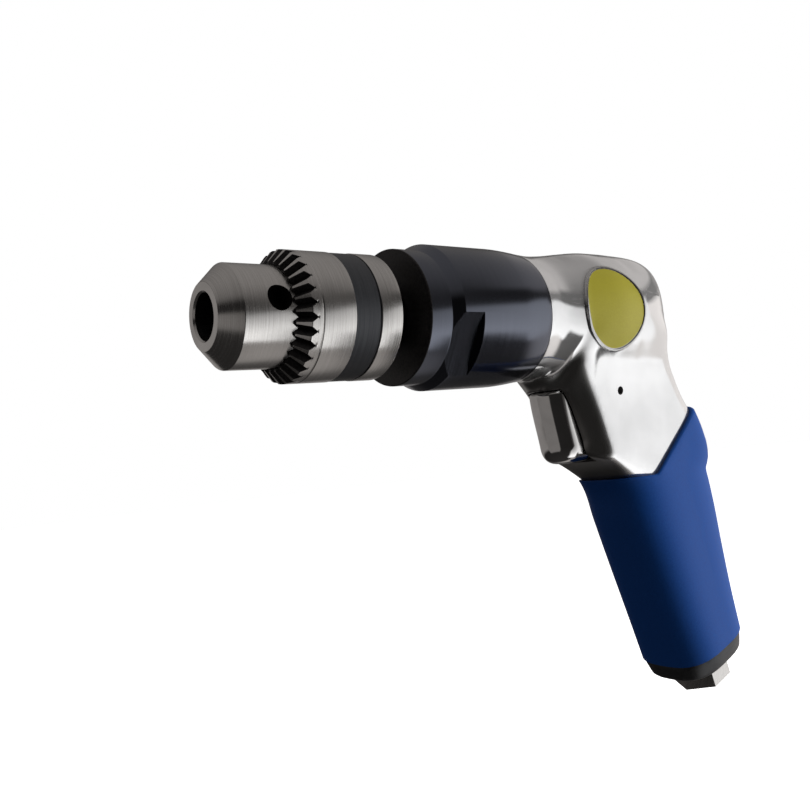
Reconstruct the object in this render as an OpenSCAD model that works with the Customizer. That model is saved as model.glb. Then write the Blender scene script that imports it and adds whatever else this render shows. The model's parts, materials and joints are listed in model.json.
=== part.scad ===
// Air drill with a pistol handle and a keyed three-jaw chuck.
// The x axis is the spindle's axis: it starts at the chuck's mouth and runs to the rear. z is up.

/* [Chuck] */
// Radius of the mouth that a bit goes into
mouth_r = 6.35; // [6:0.05:7]
// Radius of the flat front face
face_r = 9.2; // [8:0.1:11]
// Radius of the nose
nose_r = 14.4; // [13.8:0.1:15]
// Radius of the sleeve
sleeve_r = 18.75; // [18:0.05:21]
// Distance from the mouth to the front edge of the teeth
teeth_front = 19.3; // [18.5:0.1:20]
// Length of the bevel that carries the teeth
teeth_len = 3; // [2.4:0.1:4]
// Number of key teeth on the sleeve
tooth_count = 30; // [20:1:40]
// Length of the sleeve
sleeve_len = 32.6; // [31:0.1:35]
// Length of the whole chuck
chuck_len = 56; // [55:0.5:62]
// Radius of the key's pilot holes
key_r = 3.6; // [3:0.1:4]
// Distance from the mouth to the key holes
key_x = 15.6; // [14:0.1:16.5]
// Radius of a jaw
jaw_r = 3.1; // [2.6:0.1:3.3]
// Length of a jaw
jaw_len = 26; // [24:0.5:27]
// Angle between a jaw and the spindle's axis
jaw_angle = 15; // [14:0.5:16]
// Radius of the thickest bit that the jaws take
grip_open_r = 5; // [4.5:0.1:5.2]
// Radius left between the closed jaws
grip_closed_r = 0.5; // [0.4:0.05:1]

/* [Gear case] */
// Gap between the chuck and the gear case
chuck_gap = 4.3; // [3:0.1:8]
// Radius of the collar at the front
collar_r = 21; // [20:0.1:22]
// Length of the collar
collar_len = 8; // [6:0.1:10]
// Radius of the gear case
case_r = 23; // [22.6:0.1:25]
// Radius where the gear case meets the housing
joint_r = 22; // [21.8:0.1:22.4]
// Length of the gear case outside the housing
case_len = 49.2; // [48.5:0.1:54]
// Length of the thread that enters the housing
spigot_len = 8; // [6:0.1:10]
// Distance across the wrench flats
flats_across = 41; // [39:0.5:43]
// Length of the wrench flats
flat_len = 10.9; // [9:0.1:13]
// Radius of the spindle's thread
thread_r = 4.76; // [4:0.01:5]
// Radius of a spindle bearing's bore
spindle_r = 6; // [5.5:0.1:6.5]
// Outside radius of a spindle bearing
spindle_bearing_r = 14; // [13.6:0.1:14.5]
// Width of a spindle bearing
spindle_bearing_w = 8; // [7:0.1:9]

/* [Gears] */
// Tooth module of the gears
gear_module = 0.7; // [0.65:0.01:0.72]
// Teeth of the sun pinion
sun_teeth = 12; // [12:3:12]
// Teeth of a planet
planet_teeth = 15; // [15:1:15]
// Length of a planet
planet_len = 10; // [8:0.5:11]
// Radius of a planet's pin
planet_pin_r = 2; // [1.5:0.1:2.4]

/* [Motor] */
// Outside radius of the motor's cylinder
cylinder_r = 18.5; // [18.3:0.1:18.7]
// Length of the motor's cylinder
cylinder_len = 44; // [38:0.5:46]
// Radius of the cylinder's bore
cylinder_bore_r = 15.5; // [15.2:0.1:16]
// Distance that the bore lies off the rotor's axis
bore_offset = 1.2; // [0.8:0.1:1.4]
// Radius of the rotor
rotor_r = 14; // [13:0.1:14.1]
// Number of vanes
vane_count = 5; // [4:1:6]
// Thickness of a vane
vane_t = 2.4; // [1.6:0.1:3]
// Radius of the rotor's journals
journal_r = 5; // [4.9:0.1:5.3]
// Outside radius of a rotor bearing
rotor_bearing_r = 9.5; // [9:0.1:10.5]
// Width of a rotor bearing
rotor_bearing_w = 5; // [4:0.1:6]
// Thickness of an end plate
end_plate_t = 7.6; // [7:0.1:9]

/* [Housing] */
// Length of the motor housing along the spindle's axis
barrel_len = 77; // [74:0.5:84]
// Radius of the housing at its widest
barrel_r = 24.1; // [23.8:0.1:26]
// Height of the handle, from the spindle's axis to its foot
handle_len = 128; // [120:1:140]
// Depth of the handle that its outline follows
handle_depth = 50; // [48:0.5:54]
// Width of the handle
handle_w = 29; // [28:0.5:32]
// Tilt of the handle's foot
foot_tilt = 15; // [10:1:18]
// Thickness of the grip sleeve
grip_t = 1.6; // [1:0.1:2.5]
// Width of the badge
badge_w = 28.8; // [24:0.1:29.5]
// Height of the badge
badge_h = 30; // [26:0.5:32]
// Thickness of the badge
badge_t = 0.7; // [0.5:0.1:1.2]

/* [Trigger and valve] */
// Height of the trigger
trigger_h = 25.7; // [23:0.1:27]
// Width of the trigger
trigger_w = 17; // [14:0.5:18]
// Depth of the trigger block
trigger_depth = 19.5; // [17:0.5:21]
// Travel of the trigger
trigger_travel = 7; // [5:0.5:8]
// Radius of the trigger's roll pin
pin_r = 1.5; // [1:0.1:1.8]
// Radius of the valve bush
bush_r = 6.5; // [6:0.1:7]
// Length of the valve bush
bush_len = 17; // [14:0.5:18]
// Radius of the valve stem
stem_r = 2; // [1.5:0.1:2.5]
// Radius of the valve's poppet
poppet_r = 4.8; // [4.4:0.1:5.2]
// Length of the valve spring
spring_len = 14; // [12:0.5:15]
// Radius of the valve spring's coil
spring_r = 3.6; // [3:0.1:4]
// Radius of the spring's wire
wire_r = 0.4; // [0.3:0.05:0.5]
// Number of turns of the spring
spring_turns = 6; // [4:1:7]

/* [Air inlet] */
// Radius of the inlet's bore, for a quarter-inch pipe thread
inlet_r = 5.7; // [5:0.05:6]
// Depth of the inlet's thread
inlet_depth = 14; // [12:0.5:16]
// Distance across the inlet's hexagon
inlet_hex = 19; // [18:0.5:22]
// Height of the inlet's hexagon
inlet_hex_h = 8; // [6:0.5:10]
// Radius of the inlet's thread in the handle
inlet_thread_r = 8; // [7.5:0.1:8.5]
// Thickness of the exhaust cap
cap_t = 7; // [6:0.5:9]

/* [Hidden] */

// Facets of a full circle, and of a small hole
$fn = 72;
hole_facets = 32;
// Overrun of every cut
over = 1;
// Radial gap of a running fit
run_gap = 0.06;
// Radial gap of a fixed fit
fit_gap = 0.02;
// Gap between pieces that move past each other
clear_gap = 0.3;
// Gap between flat faces that turn against each other
face_gap = 0.25;

// Chuck: places along the axis
sleeve_end = teeth_front + sleeve_len;
lip_len = 3.4;
groove_front = teeth_front + lip_len;
nut_front = groove_front + clear_gap;
nut_len = 6.6;
nut_end = nut_front + nut_len;
groove_end = nut_end + clear_gap;
shoulder_inset = 1.4;
body_end = sleeve_end - shoulder_inset;
mouth_len = 8.6;
mouth_depth = 30;
mouth_step = 0.2;
hub_r = 11;
socket_depth = 15;
stub_gap = 0.5;
// Chuck: radii
sleeve_wall = 2.75;
sleeve_bore_r = sleeve_r - sleeve_wall;
shoulder_r = sleeve_bore_r - run_gap;
lip_r = nose_r + run_gap;
bevel_lip = 0.9;
bevel_front_r = nose_r + bevel_lip;
notch_len = 1.9;
notch_slope = 0.97;
notch_h = 3;
edge = 0.5;
// Marks on the sleeve
band_front = 16.8;
band_len = 8.6;
band_depth = 0.15;
seam_place = 6.5;
seam_w = 0.3;
key_depth = 6;
// Clock angles, up from the side of the badge
key_clock = 10.4;
notch_clock = 1.4;
jaw_count = 3;
jaw_clock = key_clock + 180 / jaw_count;
// Radius of a jaw's axis at the mouth when the jaws are closed
jaw_tip_r = 0.7;
jaw_gap = 0.25;
jaw_travel = (grip_open_r - grip_closed_r) / sin(jaw_angle);
jaw_stand_out = 0.5;

// Gear case: places along the axis
case_front = chuck_len + chuck_gap;
joint_x = case_front + case_len;
spigot_end = joint_x + spigot_len;
case_wall = 2.5;
case_bevel_len = 3.4;
case_taper_len = 12.5;
flats_clock = -33;
flat_front = case_front + collar_len;
case_shoulder_x = flat_front + case_bevel_len;
seal_t = 1.9;
bearing_1_x = case_front + case_wall;
spacer_len = 7.2;
bearing_2_x = bearing_1_x + spindle_bearing_w + spacer_len;
ring_x = bearing_2_x + spindle_bearing_w;
ring_t = 1.2;
ring_depth = 1;
ring_w = 2.4;
carrier_gap = 1.2;
carrier_x = ring_x + ring_t + carrier_gap;
carrier_t = 3.6;
planet_gap = 0.6;
planet_x = carrier_x + carrier_t + planet_gap;
planet_end = planet_x + planet_len;
ring_gear_x = planet_x - planet_gap / 2;
washer_x = planet_end + planet_gap;
washer_t = 1.2;
// Gear case: radii
shoulder_spindle_r = 8.6;
wall_hole_gap = 0.6;
seal_w = 2.4;
race_share = 0.28;
ball_grow = 0.3;
ball_gap = 0.1;
ball_count = 8;
ball_facets = 32;
spacer_w = 1.8;
spigot_r = 20.2;
cavity_step = 1.2;
carrier_cavity_r = spindle_bearing_r + cavity_step;
ring_gear_step = 0.9;
ring_gear_r = cylinder_r - ring_gear_step;

// Gears
ring_teeth = sun_teeth + 2 * planet_teeth;
planet_count = 3;
pressure_angle = 20;
addendum_share = 0.85;
dedendum_share = 1.2;
backlash = 0.12;
flank_steps = 4;
planet_centre = gear_module * (sun_teeth + planet_teeth) / 2;
carrier_rim = 1.6;
carrier_r = planet_centre + planet_pin_r + carrier_rim;
pinion_gap = 0.9;
washer_gap = 1;
washer_bore_r = journal_r + washer_gap;

// Motor: places along the axis
plate_1_x = washer_x + washer_t;
plate_1_end = plate_1_x + end_plate_t;
cylinder_x = plate_1_end;
cylinder_end = cylinder_x + cylinder_len;
plate_2_x = cylinder_end;
plate_2_end = plate_2_x + end_plate_t;
gasket_t = 1;
bore_end = plate_2_end + gasket_t;
motor_bore_r = cylinder_r + fit_gap;
plate_hole_gap = 0.6;
slot_gap = 0.1;
vane_h = 8;
port_count = 3;
port_r = 1.6;
dowel_r = 1.2;
dowel_len = 10;
dowel_clock = 135;
dowel_place_r = (cylinder_r + cylinder_bore_r - bore_offset * sin(dowel_clock)) / 2;
gasket_w = 5;

// Housing: shape of the barrel, as shares of its length and of its radius
barrel_end = joint_x + barrel_len;
turned_len_shares = [0, 0.08, 0.21, 0.31, 0.44, 0.53, 0.6];
turned_r_shares = [0.913, 0.897, 0.917, 0.955, 0.997, 1, 0.96];
tail_len_shares = [0.45, 0.53, 0.58, 0.66, 0.76, 0.84, 0.895, 0.935, 0.957, 0.97];
tail_top_shares = [0.96, 0.99, 1, 1.005, 1, 0.93, 0.825, 0.68, 0.48, 0.2];
tail_curve_start_share = 0.56;
tail_close_share = 0.98;
tail_entry_len_shares = [0.45, 0.53, 0.58];
tail_entry_shares = [0.96, 0.99, 1];
tail_low_share = 0.97;
tail_powers = [2, 2.2];
tail_power_shares = [0.6, 0.86];
// Housing: shape of the handle, as shares of its height, depth and half width
handle_place = 22;
handle_x = joint_x + handle_place;
handle_drop_shares = [0, 0.063, 0.11, 0.156, 0.203, 0.25, 0.297, 0.344, 0.39,
    0.406, 0.422, 0.445, 0.484, 0.578, 0.719, 0.86, 1];
handle_front_shares = [-0.07, -0.075, -0.08, -0.074, -0.042, 0, 0.034, 0.068, 0.1,
    0.134, 0.2, 0.274, 0.35, 0.435, 0.563, 0.69, 0.815];
handle_rear_shares = [0.82, 0.876, 0.906, 0.965, 1.042, 1.112, 1.2, 1.26, 1.3,
    1.315, 1.33, 1.35, 1.37, 1.405, 1.44, 1.485, 1.54];
handle_w_shares = [1, 1, 1, 1, 1, 1, 1, 1, 1, 1, 1, 1, 1, 1, 0.986, 0.966, 0.966];
// How square the handle's section is at the front and at the back: flat sides at the trigger
handle_power_shares = [0, 0.11, 0.39, 0.47];
front_powers = [4, 2.6, 2.6, 3];
rear_powers = [4, 8, 8, 3];
// Where the handle runs into the barrel: its half width as shares of the barrel's radius
neck_drop_shares = [0, 0.063, 0.11, 0.156, 0.203, 0.25, 0.297, 1];
neck_w_shares = [0.83, 0.809, 0.74, 0.672, 0.626, 0.606, 0.6, 0.3];
tilt_start_share = 0.484;
section_points = 40;
// Line of the grip's upper edge: level at the front, rising to the back
grip_top = 59.5;
grip_bend_place = 52;
grip_bend_x = joint_x + grip_bend_place;
grip_rise_x = 32;
grip_rise = 25;
grip_gap = 0.05;
grip_start_share = 0.2;
grip_core_start_share = 0.16;
badge_place = 30.6;
badge_x = joint_x + badge_place;
badge_points = 48;
badge_gap = 0.25;
badge_len_shares = [0.19, 0.21, 0.31, 0.44, 0.53, 0.6];
badge_r_shares = [0.914, 0.917, 0.955, 0.997, 1, 0.992];

// Trigger and valve: places
trigger_place = 11;
trigger_x = joint_x + trigger_place;
trigger_drop = 2;
trigger_top = barrel_r + trigger_drop;
trigger_end = trigger_x + trigger_depth;
trigger_bottom = trigger_top + trigger_h;
trigger_lean = 3;
trigger_round = 3.5;
trigger_gap = 0.4;
top_gap = 0.2;
recess_end = trigger_end + trigger_travel + trigger_gap;
tongue_h = 7;
tongue_w = 8;
tongue_len = 10.5;
tongue_front = trigger_end - over;
tongue_drop = 4.2;
tongue_z = barrel_r + tongue_drop;
pin_place = 7;
pin_x = trigger_end + pin_place;
pin_sink = 2;
slot_len = trigger_travel + 2 * pin_r + 2 * trigger_gap;
// Hood of the casting over the trigger
hood_lap = 0.5;
hood_h = 10;
hood_bottom = trigger_top - 2 * top_gap;
valve_drop = 13.9;
valve_z = trigger_top + valve_drop;
stem_seat = 4;
stem_front = trigger_end - stem_seat;
bush_x = recess_end;
bush_end = bush_x + bush_len;
seat_w = 1;
seat_r = poppet_r - seat_w;
bush_chamber_len = 7;
seal_ring_t = 1;
poppet_x = bush_end + face_gap + seal_ring_t;
poppet_t = 3;
spring_x = poppet_x + poppet_t;
valve_bore_end = spring_x + spring_len;
wire_sides = 6;
turn_rings = 16;
feed_r = 2.6;
feed_x = bush_end - bush_chamber_len / 2;
exhaust_r = 2.1;
exhaust_inset = 4.1;
exhaust_y = handle_w / 2 - exhaust_inset;
exhaust_top_place = 49;
exhaust_top_x = joint_x + exhaust_top_place;
exhaust_top_z = 14;
exhaust_foot_share = 1.16;
exhaust_foot_x = handle_x + handle_depth * exhaust_foot_share;

// Foot of the handle
foot_share = (handle_front_shares[len(handle_front_shares) - 1]
    + handle_rear_shares[len(handle_rear_shares) - 1]) / 2;
foot_x = handle_x + handle_depth * foot_share;
inlet_top = 88;
inlet_bore_r = 4.5;
inlet_throat_r = 3.5;
hex_sides = 6;
inlet_thread_len = 16;
pad_t = 2.5;
pad_inset = 4;
pad_room_shares = [-0.2, 1];
pad_shares = [0.02, 1];
cap_inset = 0.6;
cap_row_shares = [0, 0.25, 1];
cap_hole_gap = 0.3;
cap_slot_w = 1.2;
cap_slot_len = 11;
cap_slot_pitch = 2.5;
cap_slot_count = 2;
cap_slot_place = 13.6;
screen_t = 1;
screen_step = 0.2;
screen_hole_r = 0.7;
screen_ring_r = 2.4;
screen_holes = 6;

// Lays what stands on z along x
module along_x() rotate([0, 90, 0]) children();

// A round rod along x
module rod(r, x0, x1) translate([x0, 0, 0]) along_x() cylinder(r = r, h = x1 - x0);

// A tube along x
module tube(outer, inner, x0, x1) difference() {
    rod(outer, x0, x1);
    rod(inner, x0 - over, x1 + over);
}

// A turned shape from points of radius and x
module turned(profile) along_x() rotate_extrude() polygon(profile);

// A prism along x from points of y and z
module prism_x(points, x0, x1) translate([x0, 0, 0]) rotate([90, 0, 90])
    linear_extrude(x1 - x0) polygon(points);

// A slab across y from points of x and z
module slab_y(points, w) rotate([90, 0, 0]) linear_extrude(w, center = true) polygon(points);

// Turns a shape that points to the badge's side up to a clock angle
module at_clock(angle) rotate([-angle, 0, 0]) children();

// A closed skin over rows of points
module loft(rows) {
    n = len(rows[0]);
    last = len(rows) - 1;
    sides = [for (i = [0:last - 1], j = [0:n - 1]) each [
        [i * n + j, i * n + (j + 1) % n, (i + 1) * n + j],
        [i * n + (j + 1) % n, (i + 1) * n + (j + 1) % n, (i + 1) * n + j]]];
    ends = [[for (j = [n - 1:-1:0]) j], [for (j = [0:n - 1]) last * n + j]];
    polyhedron([for (row = rows) each row], concat(sides, ends));
}

// One coordinate of a rounded box outline, from -1 to 1
function rounded(v, power) = sign(v) * pow(abs(v), 2 / power);

// Linear reading of a table
function table(x, xs, ys) = lookup(x, [for (i = [0:len(xs) - 1]) [xs[i], ys[i]]]);

// Chuck

// Radius of a jaw's axis at a place along the spindle
function jaw_axis_r(x) = jaw_tip_r + x * tan(jaw_angle);
// Radius that the outer side of the jaws reaches there
function jaw_crest(x) = jaw_axis_r(x) + jaw_r / cos(jaw_angle);

// Lays a shape that stands on z along the axis of a jaw in its closed place
module on_jaw_axis() translate([0, -jaw_tip_r, 0]) rotate([0, 0, -jaw_angle]) along_x() children();

module chuck_body() color("silver") difference() {
    turned([[0, 0], [face_r, 0], [nose_r, nose_r - face_r], [nose_r, groove_front],
        [jaw_crest(groove_front) - jaw_stand_out, groove_front],
        [jaw_crest(groove_end) - jaw_stand_out, groove_end],
        [shoulder_r, groove_end], [shoulder_r, body_end], [hub_r, body_end],
        [hub_r, chuck_len], [0, chuck_len]]);
    rod(mouth_r, -over, mouth_len);
    rod(mouth_r - mouth_step, 0, mouth_depth);
    rod(thread_r, chuck_len - socket_depth, chuck_len + over);
    for (k = [0:jaw_count - 1]) {
        at_clock(jaw_clock + k * 360 / jaw_count) on_jaw_axis()
            translate([0, 0, -over]) cylinder(r = jaw_r + run_gap, h = jaw_travel + jaw_len + 2 * over);
        at_clock(key_clock + k * 360 / jaw_count) translate([key_x, key_depth - nose_r, 0])
            rotate([90, 0, 0]) cylinder(r = key_r, h = key_depth + over);
    }
}

module sleeve_blank() turned([[lip_r, teeth_front], [bevel_front_r, teeth_front],
    [sleeve_r, teeth_front + teeth_len],
    [sleeve_r, teeth_front + seam_place - seam_w], [sleeve_r - band_depth, teeth_front + seam_place],
    [sleeve_r, teeth_front + seam_place + seam_w],
    [sleeve_r, teeth_front + band_front], [sleeve_r - band_depth, teeth_front + band_front],
    [sleeve_r - band_depth, teeth_front + band_front + band_len],
    [sleeve_r, teeth_front + band_front + band_len],
    [sleeve_r, sleeve_end - edge], [sleeve_r - edge, sleeve_end], [sleeve_bore_r, sleeve_end],
    [sleeve_bore_r, groove_front], [lip_r, groove_front]]);

module chuck_sleeve() color("silver") {
    bevel_angle = atan((sleeve_r - bevel_front_r) / teeth_len);
    notch_reach = (teeth_len + notch_len + over) / cos(bevel_angle);
    difference() {
        sleeve_blank();
        for (i = [0:tooth_count - 1]) at_clock(notch_clock + i * 360 / tooth_count)
            translate([teeth_front + teeth_len + notch_len, -sleeve_r, 0]) rotate([0, 0, -bevel_angle])
                prism_x([[0, 0], [-notch_h, notch_slope * notch_h], [-notch_h, -notch_slope * notch_h]],
                    -notch_reach, over);
    }
}

module chuck_nut() color("dimgray") difference() {
    turned([[jaw_crest(nut_front) + clear_gap, nut_front], [sleeve_bore_r - fit_gap, nut_front],
        [sleeve_bore_r - fit_gap, nut_end], [jaw_crest(nut_end) + clear_gap, nut_end]]);
    translate([nut_front - over, -sleeve_r, -jaw_gap / 2]) cube([nut_len + 2 * over, 2 * sleeve_r, jaw_gap]);
}

module jaw(k) color("dimgray") at_clock(jaw_clock + k * 360 / jaw_count)
    translate(jaw_travel * [cos(jaw_angle), -sin(jaw_angle), 0]) intersection() {
        on_jaw_axis() cylinder(r = jaw_r, h = jaw_len);
        prism_x([[-grip_closed_r, (grip_closed_r - jaw_gap) * tan(180 / jaw_count)],
            [-nose_r, (nose_r - jaw_gap) * tan(180 / jaw_count)],
            [-nose_r, -(nose_r - jaw_gap) * tan(180 / jaw_count)],
            [-grip_closed_r, -(grip_closed_r - jaw_gap) * tan(180 / jaw_count)]], -jaw_r, jaw_len + jaw_r);
    }
module jaw_1() jaw(0);
module jaw_2() jaw(1);
module jaw_3() jaw(2);

// Gear case and spindle

module gear_case() color("#202124") difference() {
    turned([[0, case_front], [collar_r - edge, case_front], [collar_r, case_front + edge],
        [collar_r, flat_front], [case_r, case_shoulder_x], [case_r, joint_x - case_taper_len],
        [(case_r + joint_r) / 2 + edge / 2, joint_x - case_taper_len / 2], [joint_r, joint_x],
        [spigot_r, joint_x], [spigot_r, spigot_end], [0, spigot_end]]);
    rod(shoulder_spindle_r + wall_hole_gap, case_front - over, bearing_1_x + over);
    rod(shoulder_spindle_r + seal_w, bearing_1_x - seal_t, bearing_1_x + over);
    rod(spindle_bearing_r + fit_gap, bearing_1_x, ring_gear_x);
    rod(spindle_bearing_r + ring_depth, ring_x, ring_x + ring_t);
    rod(carrier_cavity_r, ring_x + ring_t + edge, ring_gear_x + over);
    rod(ring_gear_r + fit_gap, ring_gear_x, plate_1_x + over);
    rod(motor_bore_r, plate_1_x, spigot_end + over);
    for (side = [0, 180]) at_clock(flats_clock + side)
        translate([flat_front, -case_r - flats_across / 2, -case_r]) cube([flat_len, case_r, 2 * case_r]);
}

module dust_seal() color("#3a3a3a")
    tube(shoulder_spindle_r + seal_w - fit_gap, shoulder_spindle_r + run_gap,
        bearing_1_x - seal_t, bearing_1_x);

module spindle() color("gray") difference() {
    union() {
        rod(thread_r - fit_gap, chuck_len - socket_depth + stub_gap, chuck_len + over);
        rod(shoulder_spindle_r, chuck_len, bearing_1_x);
        rod(spindle_r - fit_gap, bearing_1_x - over, carrier_x + over);
        rod(carrier_r, carrier_x, carrier_x + carrier_t);
    }
    for (k = [0:planet_count - 1]) at_clock(k * 360 / planet_count) translate([0, -planet_centre, 0])
        rod(planet_pin_r, carrier_x - over, carrier_x + carrier_t + over);
}

// Pitch radius and ball radius of a bearing between two radii
function ball_pitch(inner, outer) = (inner + outer) / 2;
function ball_size(inner, outer) = (outer - inner) / 4 + ball_grow;

module ball_track(inner, outer, x, w) translate([x + w / 2, 0, 0]) along_x()
    rotate_extrude() translate([ball_pitch(inner, outer), 0])
        circle(r = ball_size(inner, outer) + ball_gap, $fn = ball_facets);

module outer_race(inner, outer, x, w) color("lightgray") difference() {
    tube(outer, outer - (outer - inner) * race_share, x, x + w);
    ball_track(inner, outer, x, w);
}
module inner_race(inner, outer, x, w) color("lightgray") difference() {
    tube(inner + (outer - inner) * race_share, inner, x, x + w);
    ball_track(inner, outer, x, w);
}
module race_balls(inner, outer, x, w) color("white") for (i = [0:ball_count - 1])
    at_clock(i * 360 / ball_count) translate([x + w / 2, -ball_pitch(inner, outer), 0])
        sphere(r = ball_size(inner, outer), $fn = ball_facets);

module front_bearing_outer() outer_race(spindle_r, spindle_bearing_r, bearing_1_x, spindle_bearing_w);
module front_bearing_inner() inner_race(spindle_r, spindle_bearing_r, bearing_1_x, spindle_bearing_w);
module front_bearing_balls() race_balls(spindle_r, spindle_bearing_r, bearing_1_x, spindle_bearing_w);
module rear_bearing_outer() outer_race(spindle_r, spindle_bearing_r, bearing_2_x, spindle_bearing_w);
module rear_bearing_inner() inner_race(spindle_r, spindle_bearing_r, bearing_2_x, spindle_bearing_w);
module rear_bearing_balls() race_balls(spindle_r, spindle_bearing_r, bearing_2_x, spindle_bearing_w);

module bearing_spacer() color("gray")
    tube(spindle_bearing_r, spindle_bearing_r - spacer_w, bearing_1_x + spindle_bearing_w, bearing_2_x);

module retaining_ring() color("dimgray") difference() {
    tube(spindle_bearing_r + ring_depth, spindle_bearing_r + ring_depth - ring_w, ring_x, ring_x + ring_t);
    translate([ring_x - over, -ring_w, 0])
        cube([ring_t + 2 * over, 2 * ring_w, spindle_bearing_r + 2 * ring_depth]);
}

// Gears

// Points of an involute flank, as radius and angle from the tooth's middle
function involute(a) = tan(a) * 180 / PI - a;
function flank(teeth, shrink) = let (
    pitch_r = gear_module * teeth / 2,
    base_r = pitch_r * cos(pressure_angle),
    half = 90 / teeth - shrink / pitch_r * 180 / PI + involute(pressure_angle))
    [for (i = [0:flank_steps])
        let (
            low = max(base_r, pitch_r - gear_module * addendum_share),
            r = low + (pitch_r + gear_module * addendum_share - low) * i / flank_steps)
        [r, half - involute(acos(min(1, base_r / r)))]];

// Outline of a gear with a tooth on its own x axis; shrink thins each flank
function gear_outline(teeth, shrink) = let (
    side = flank(teeth, shrink),
    root = gear_module * (teeth / 2 - dedendum_share))
    [for (t = [0:teeth - 1], p = concat([[root, -side[0][1]]], [for (s = side) [s[0], -s[1]]],
        [for (i = [flank_steps:-1:0]) side[i]], [[root, side[0][1]]]))
        p[0] * [cos(t * 360 / teeth + p[1]), sin(t * 360 / teeth + p[1])]];

// Outline of the hole in a ring gear, with a space on its own x axis
function ring_outline(teeth, shrink) = let (
    side = flank(teeth, -shrink),
    root = gear_module * (teeth / 2 + dedendum_share))
    [for (t = [0:teeth - 1], p = concat([for (s = side) [s[0], -s[1]]], [[root, -side[flank_steps][1]]],
        [[root, side[flank_steps][1]]], [for (i = [flank_steps:-1:0]) side[i]]))
        p[0] * [cos(t * 360 / teeth + p[1]), sin(t * 360 / teeth + p[1])]];

// Lays a gear's outline across the spindle, its own x axis to the badge's side
module across_x(x, h) translate([x, 0, 0]) rotate([0, 90, 0]) rotate([0, 0, -90])
    linear_extrude(h) children();

module planet(k) color("gray") at_clock(k * 360 / planet_count) translate([0, -planet_centre, 0])
    difference() {
        across_x(planet_x, planet_len) polygon(gear_outline(planet_teeth, backlash / 2));
        rod(planet_pin_r + run_gap, planet_x - over, planet_end + over);
    }
module planet_1() planet(0);
module planet_2() planet(1);
module planet_3() planet(2);

module planet_pins() color("lightgray") for (k = [0:planet_count - 1]) at_clock(k * 360 / planet_count)
    translate([0, -planet_centre, 0]) rod(planet_pin_r, carrier_x, planet_end + planet_gap / 2);

module ring_gear() color("gray") difference() {
    rod(ring_gear_r, ring_gear_x, washer_x);
    across_x(ring_gear_x - over, washer_x - ring_gear_x + 2 * over)
        polygon(ring_outline(ring_teeth, backlash / 2));
}

module thrust_washer() color("dimgray") tube(ring_gear_r, washer_bore_r, washer_x, washer_x + washer_t);

// Motor

module end_plate(x, bearing_x) difference() {
    rod(cylinder_r, x, x + end_plate_t);
    rod(journal_r + plate_hole_gap, x - over, x + end_plate_t + over);
    rod(rotor_bearing_r + fit_gap, bearing_x - (bearing_x == x ? over : 0),
        bearing_x + rotor_bearing_w + (bearing_x == x ? 0 : over));
    at_clock(dowel_clock) translate([0, -dowel_place_r, 0])
        rod(dowel_r + fit_gap, cylinder_x - dowel_len / 2, cylinder_x + dowel_len / 2);
}
module front_end_plate() color("#8a8f94") end_plate(plate_1_x, plate_1_x);
module rear_end_plate() color("#8a8f94") difference() {
    end_plate(plate_2_x, plate_2_end - rotor_bearing_w);
    at_clock(-90) translate([feed_x, 0, 0]) rotate([90, 0, 0])
        cylinder(r = feed_r, h = cylinder_r + over);
}

module motor_bearing_front_outer() outer_race(journal_r, rotor_bearing_r, plate_1_x, rotor_bearing_w);
module motor_bearing_front_inner() inner_race(journal_r, rotor_bearing_r, plate_1_x, rotor_bearing_w);
module motor_bearing_front_balls() race_balls(journal_r, rotor_bearing_r, plate_1_x, rotor_bearing_w);
module motor_bearing_rear_outer()
    outer_race(journal_r, rotor_bearing_r, plate_2_end - rotor_bearing_w, rotor_bearing_w);
module motor_bearing_rear_inner()
    inner_race(journal_r, rotor_bearing_r, plate_2_end - rotor_bearing_w, rotor_bearing_w);
module motor_bearing_rear_balls()
    race_balls(journal_r, rotor_bearing_r, plate_2_end - rotor_bearing_w, rotor_bearing_w);

module cylinder_sleeve() color("#9aa0a6") difference() {
    rod(cylinder_r, cylinder_x, cylinder_end);
    translate([0, 0, -bore_offset]) rod(cylinder_bore_r, cylinder_x - over, cylinder_end + over);
    for (i = [1:port_count]) translate([cylinder_x + cylinder_len * i / (port_count + 1), 0, 0])
        rotate([90, 0, 0]) cylinder(r = port_r, h = cylinder_r + over);
    at_clock(dowel_clock) translate([0, -dowel_place_r, 0])
        rod(dowel_r + fit_gap, cylinder_x - dowel_len / 2, cylinder_x + dowel_len / 2);
}

module cylinder_dowel() color("lightgray") at_clock(dowel_clock) translate([0, -dowel_place_r, 0])
    rod(dowel_r, cylinder_x - dowel_len / 2 + face_gap, cylinder_x + dowel_len / 2 - face_gap);

// A slot or a vane, from its floor to the rotor's rim
module vane_blank(i, w, floor_r, top_r, x0, x1) at_clock(i * 360 / vane_count)
    translate([x0, -top_r, -w / 2]) cube([x1 - x0, top_r - floor_r, w]);

module rotor() color("gray") {
    rotor_x = cylinder_x + face_gap;
    rotor_end = cylinder_end - face_gap;
    difference() {
        rod(rotor_r, rotor_x, rotor_end);
        for (i = [0:vane_count - 1])
            vane_blank(i, vane_t + 2 * slot_gap, rotor_r - vane_h - slot_gap, rotor_r + over,
                rotor_x - over, rotor_end + over);
    }
    rod(journal_r - fit_gap, washer_x, rotor_x + over);
    rod(journal_r - fit_gap, rotor_end - over, plate_2_end);
    across_x(planet_x + pinion_gap, washer_x - planet_x) polygon(gear_outline(sun_teeth, backlash / 2));
}

module vanes() color("#5a4632") for (i = [0:vane_count - 1])
    vane_blank(i, vane_t, rotor_r - vane_h, rotor_r, cylinder_x + face_gap, cylinder_end - face_gap);

module rear_gasket() color("#30302c") tube(cylinder_r, cylinder_r - gasket_w, plate_2_end, bore_end);

// Housing and handle

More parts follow.
